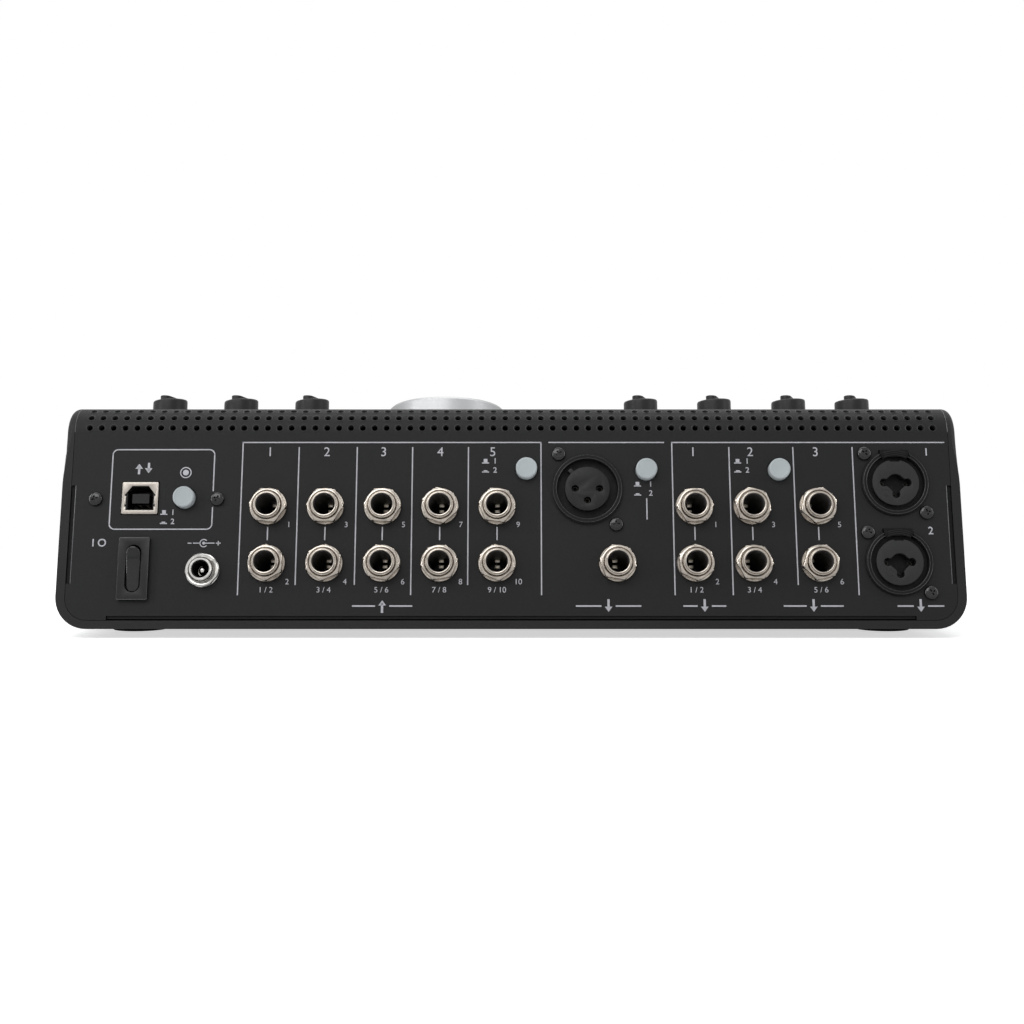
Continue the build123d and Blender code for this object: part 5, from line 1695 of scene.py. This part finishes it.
def paper():
    """White paper: matte near the object, plain white to the camera farther away."""
    material = bpy.data.materials.new("paper_floor")
    material.use_nodes = True
    nodes, links = material.node_tree.nodes, material.node_tree.links
    nodes.clear()
    matte = nodes.new("ShaderNodeBsdfDiffuse")
    matte.inputs["Color"].default_value = (paper_white, paper_white, paper_white, 1)
    glow = nodes.new("ShaderNodeEmission")
    glow.inputs["Strength"].default_value = paper_glow
    near = nodes.new("ShaderNodeAddShader")
    links.new(matte.outputs[0], near.inputs[0])
    links.new(glow.outputs[0], near.inputs[1])
    far = nodes.new("ShaderNodeEmission")
    far.inputs["Strength"].default_value = 1.0
    place = nodes.new("ShaderNodeTexCoord")
    length = nodes.new("ShaderNodeVectorMath")
    length.operation = "LENGTH"
    links.new(place.outputs["Object"], length.inputs[0])
    fade = nodes.new("ShaderNodeMapRange")
    fade.inputs["From Min"].default_value = fade_start
    fade.inputs["From Max"].default_value = fade_end
    links.new(length.outputs["Value"], fade.inputs["Value"])
    shown = nodes.new("ShaderNodeMixShader")
    links.new(fade.outputs["Result"], shown.inputs["Fac"])
    links.new(near.outputs[0], shown.inputs[1])
    links.new(far.outputs[0], shown.inputs[2])
    rays = nodes.new("ShaderNodeLightPath")
    split = nodes.new("ShaderNodeMixShader")
    links.new(rays.outputs["Is Camera Ray"], split.inputs["Fac"])
    links.new(matte.outputs[0], split.inputs[1])
    links.new(shown.outputs[0], split.inputs[2])
    out = nodes.new("ShaderNodeOutputMaterial")
    links.new(split.outputs[0], out.inputs["Surface"])
    return material


paper_finish = paper()
print("made", paper_finish.name)

# %% [markdown]
# The sheet itself is one large square that lies a hair below the feet, so that the two never share a plane.
# The Standard view transform shows colours about as they are written.

# %% Floor and view
floor_size = 6.0
floor_drop = 0.0002
floor_mesh = bpy.data.meshes.new("floor")
bm = bmesh.new()
bmesh.ops.create_grid(bm, x_segments=1, y_segments=1, size=floor_size)
bmesh.ops.translate(bm, vec=(0, 0, cad_box[0].z - floor_drop), verts=bm.verts)
bm.to_mesh(floor_mesh)
bm.free()
floor_mesh.materials.append(paper_finish)
floor = bpy.data.objects.new("floor", floor_mesh)
bpy.context.scene.collection.objects.link(floor)
bpy.context.scene.view_settings.view_transform = "Standard"
print("floor at", round(cad_box[0].z, 4))
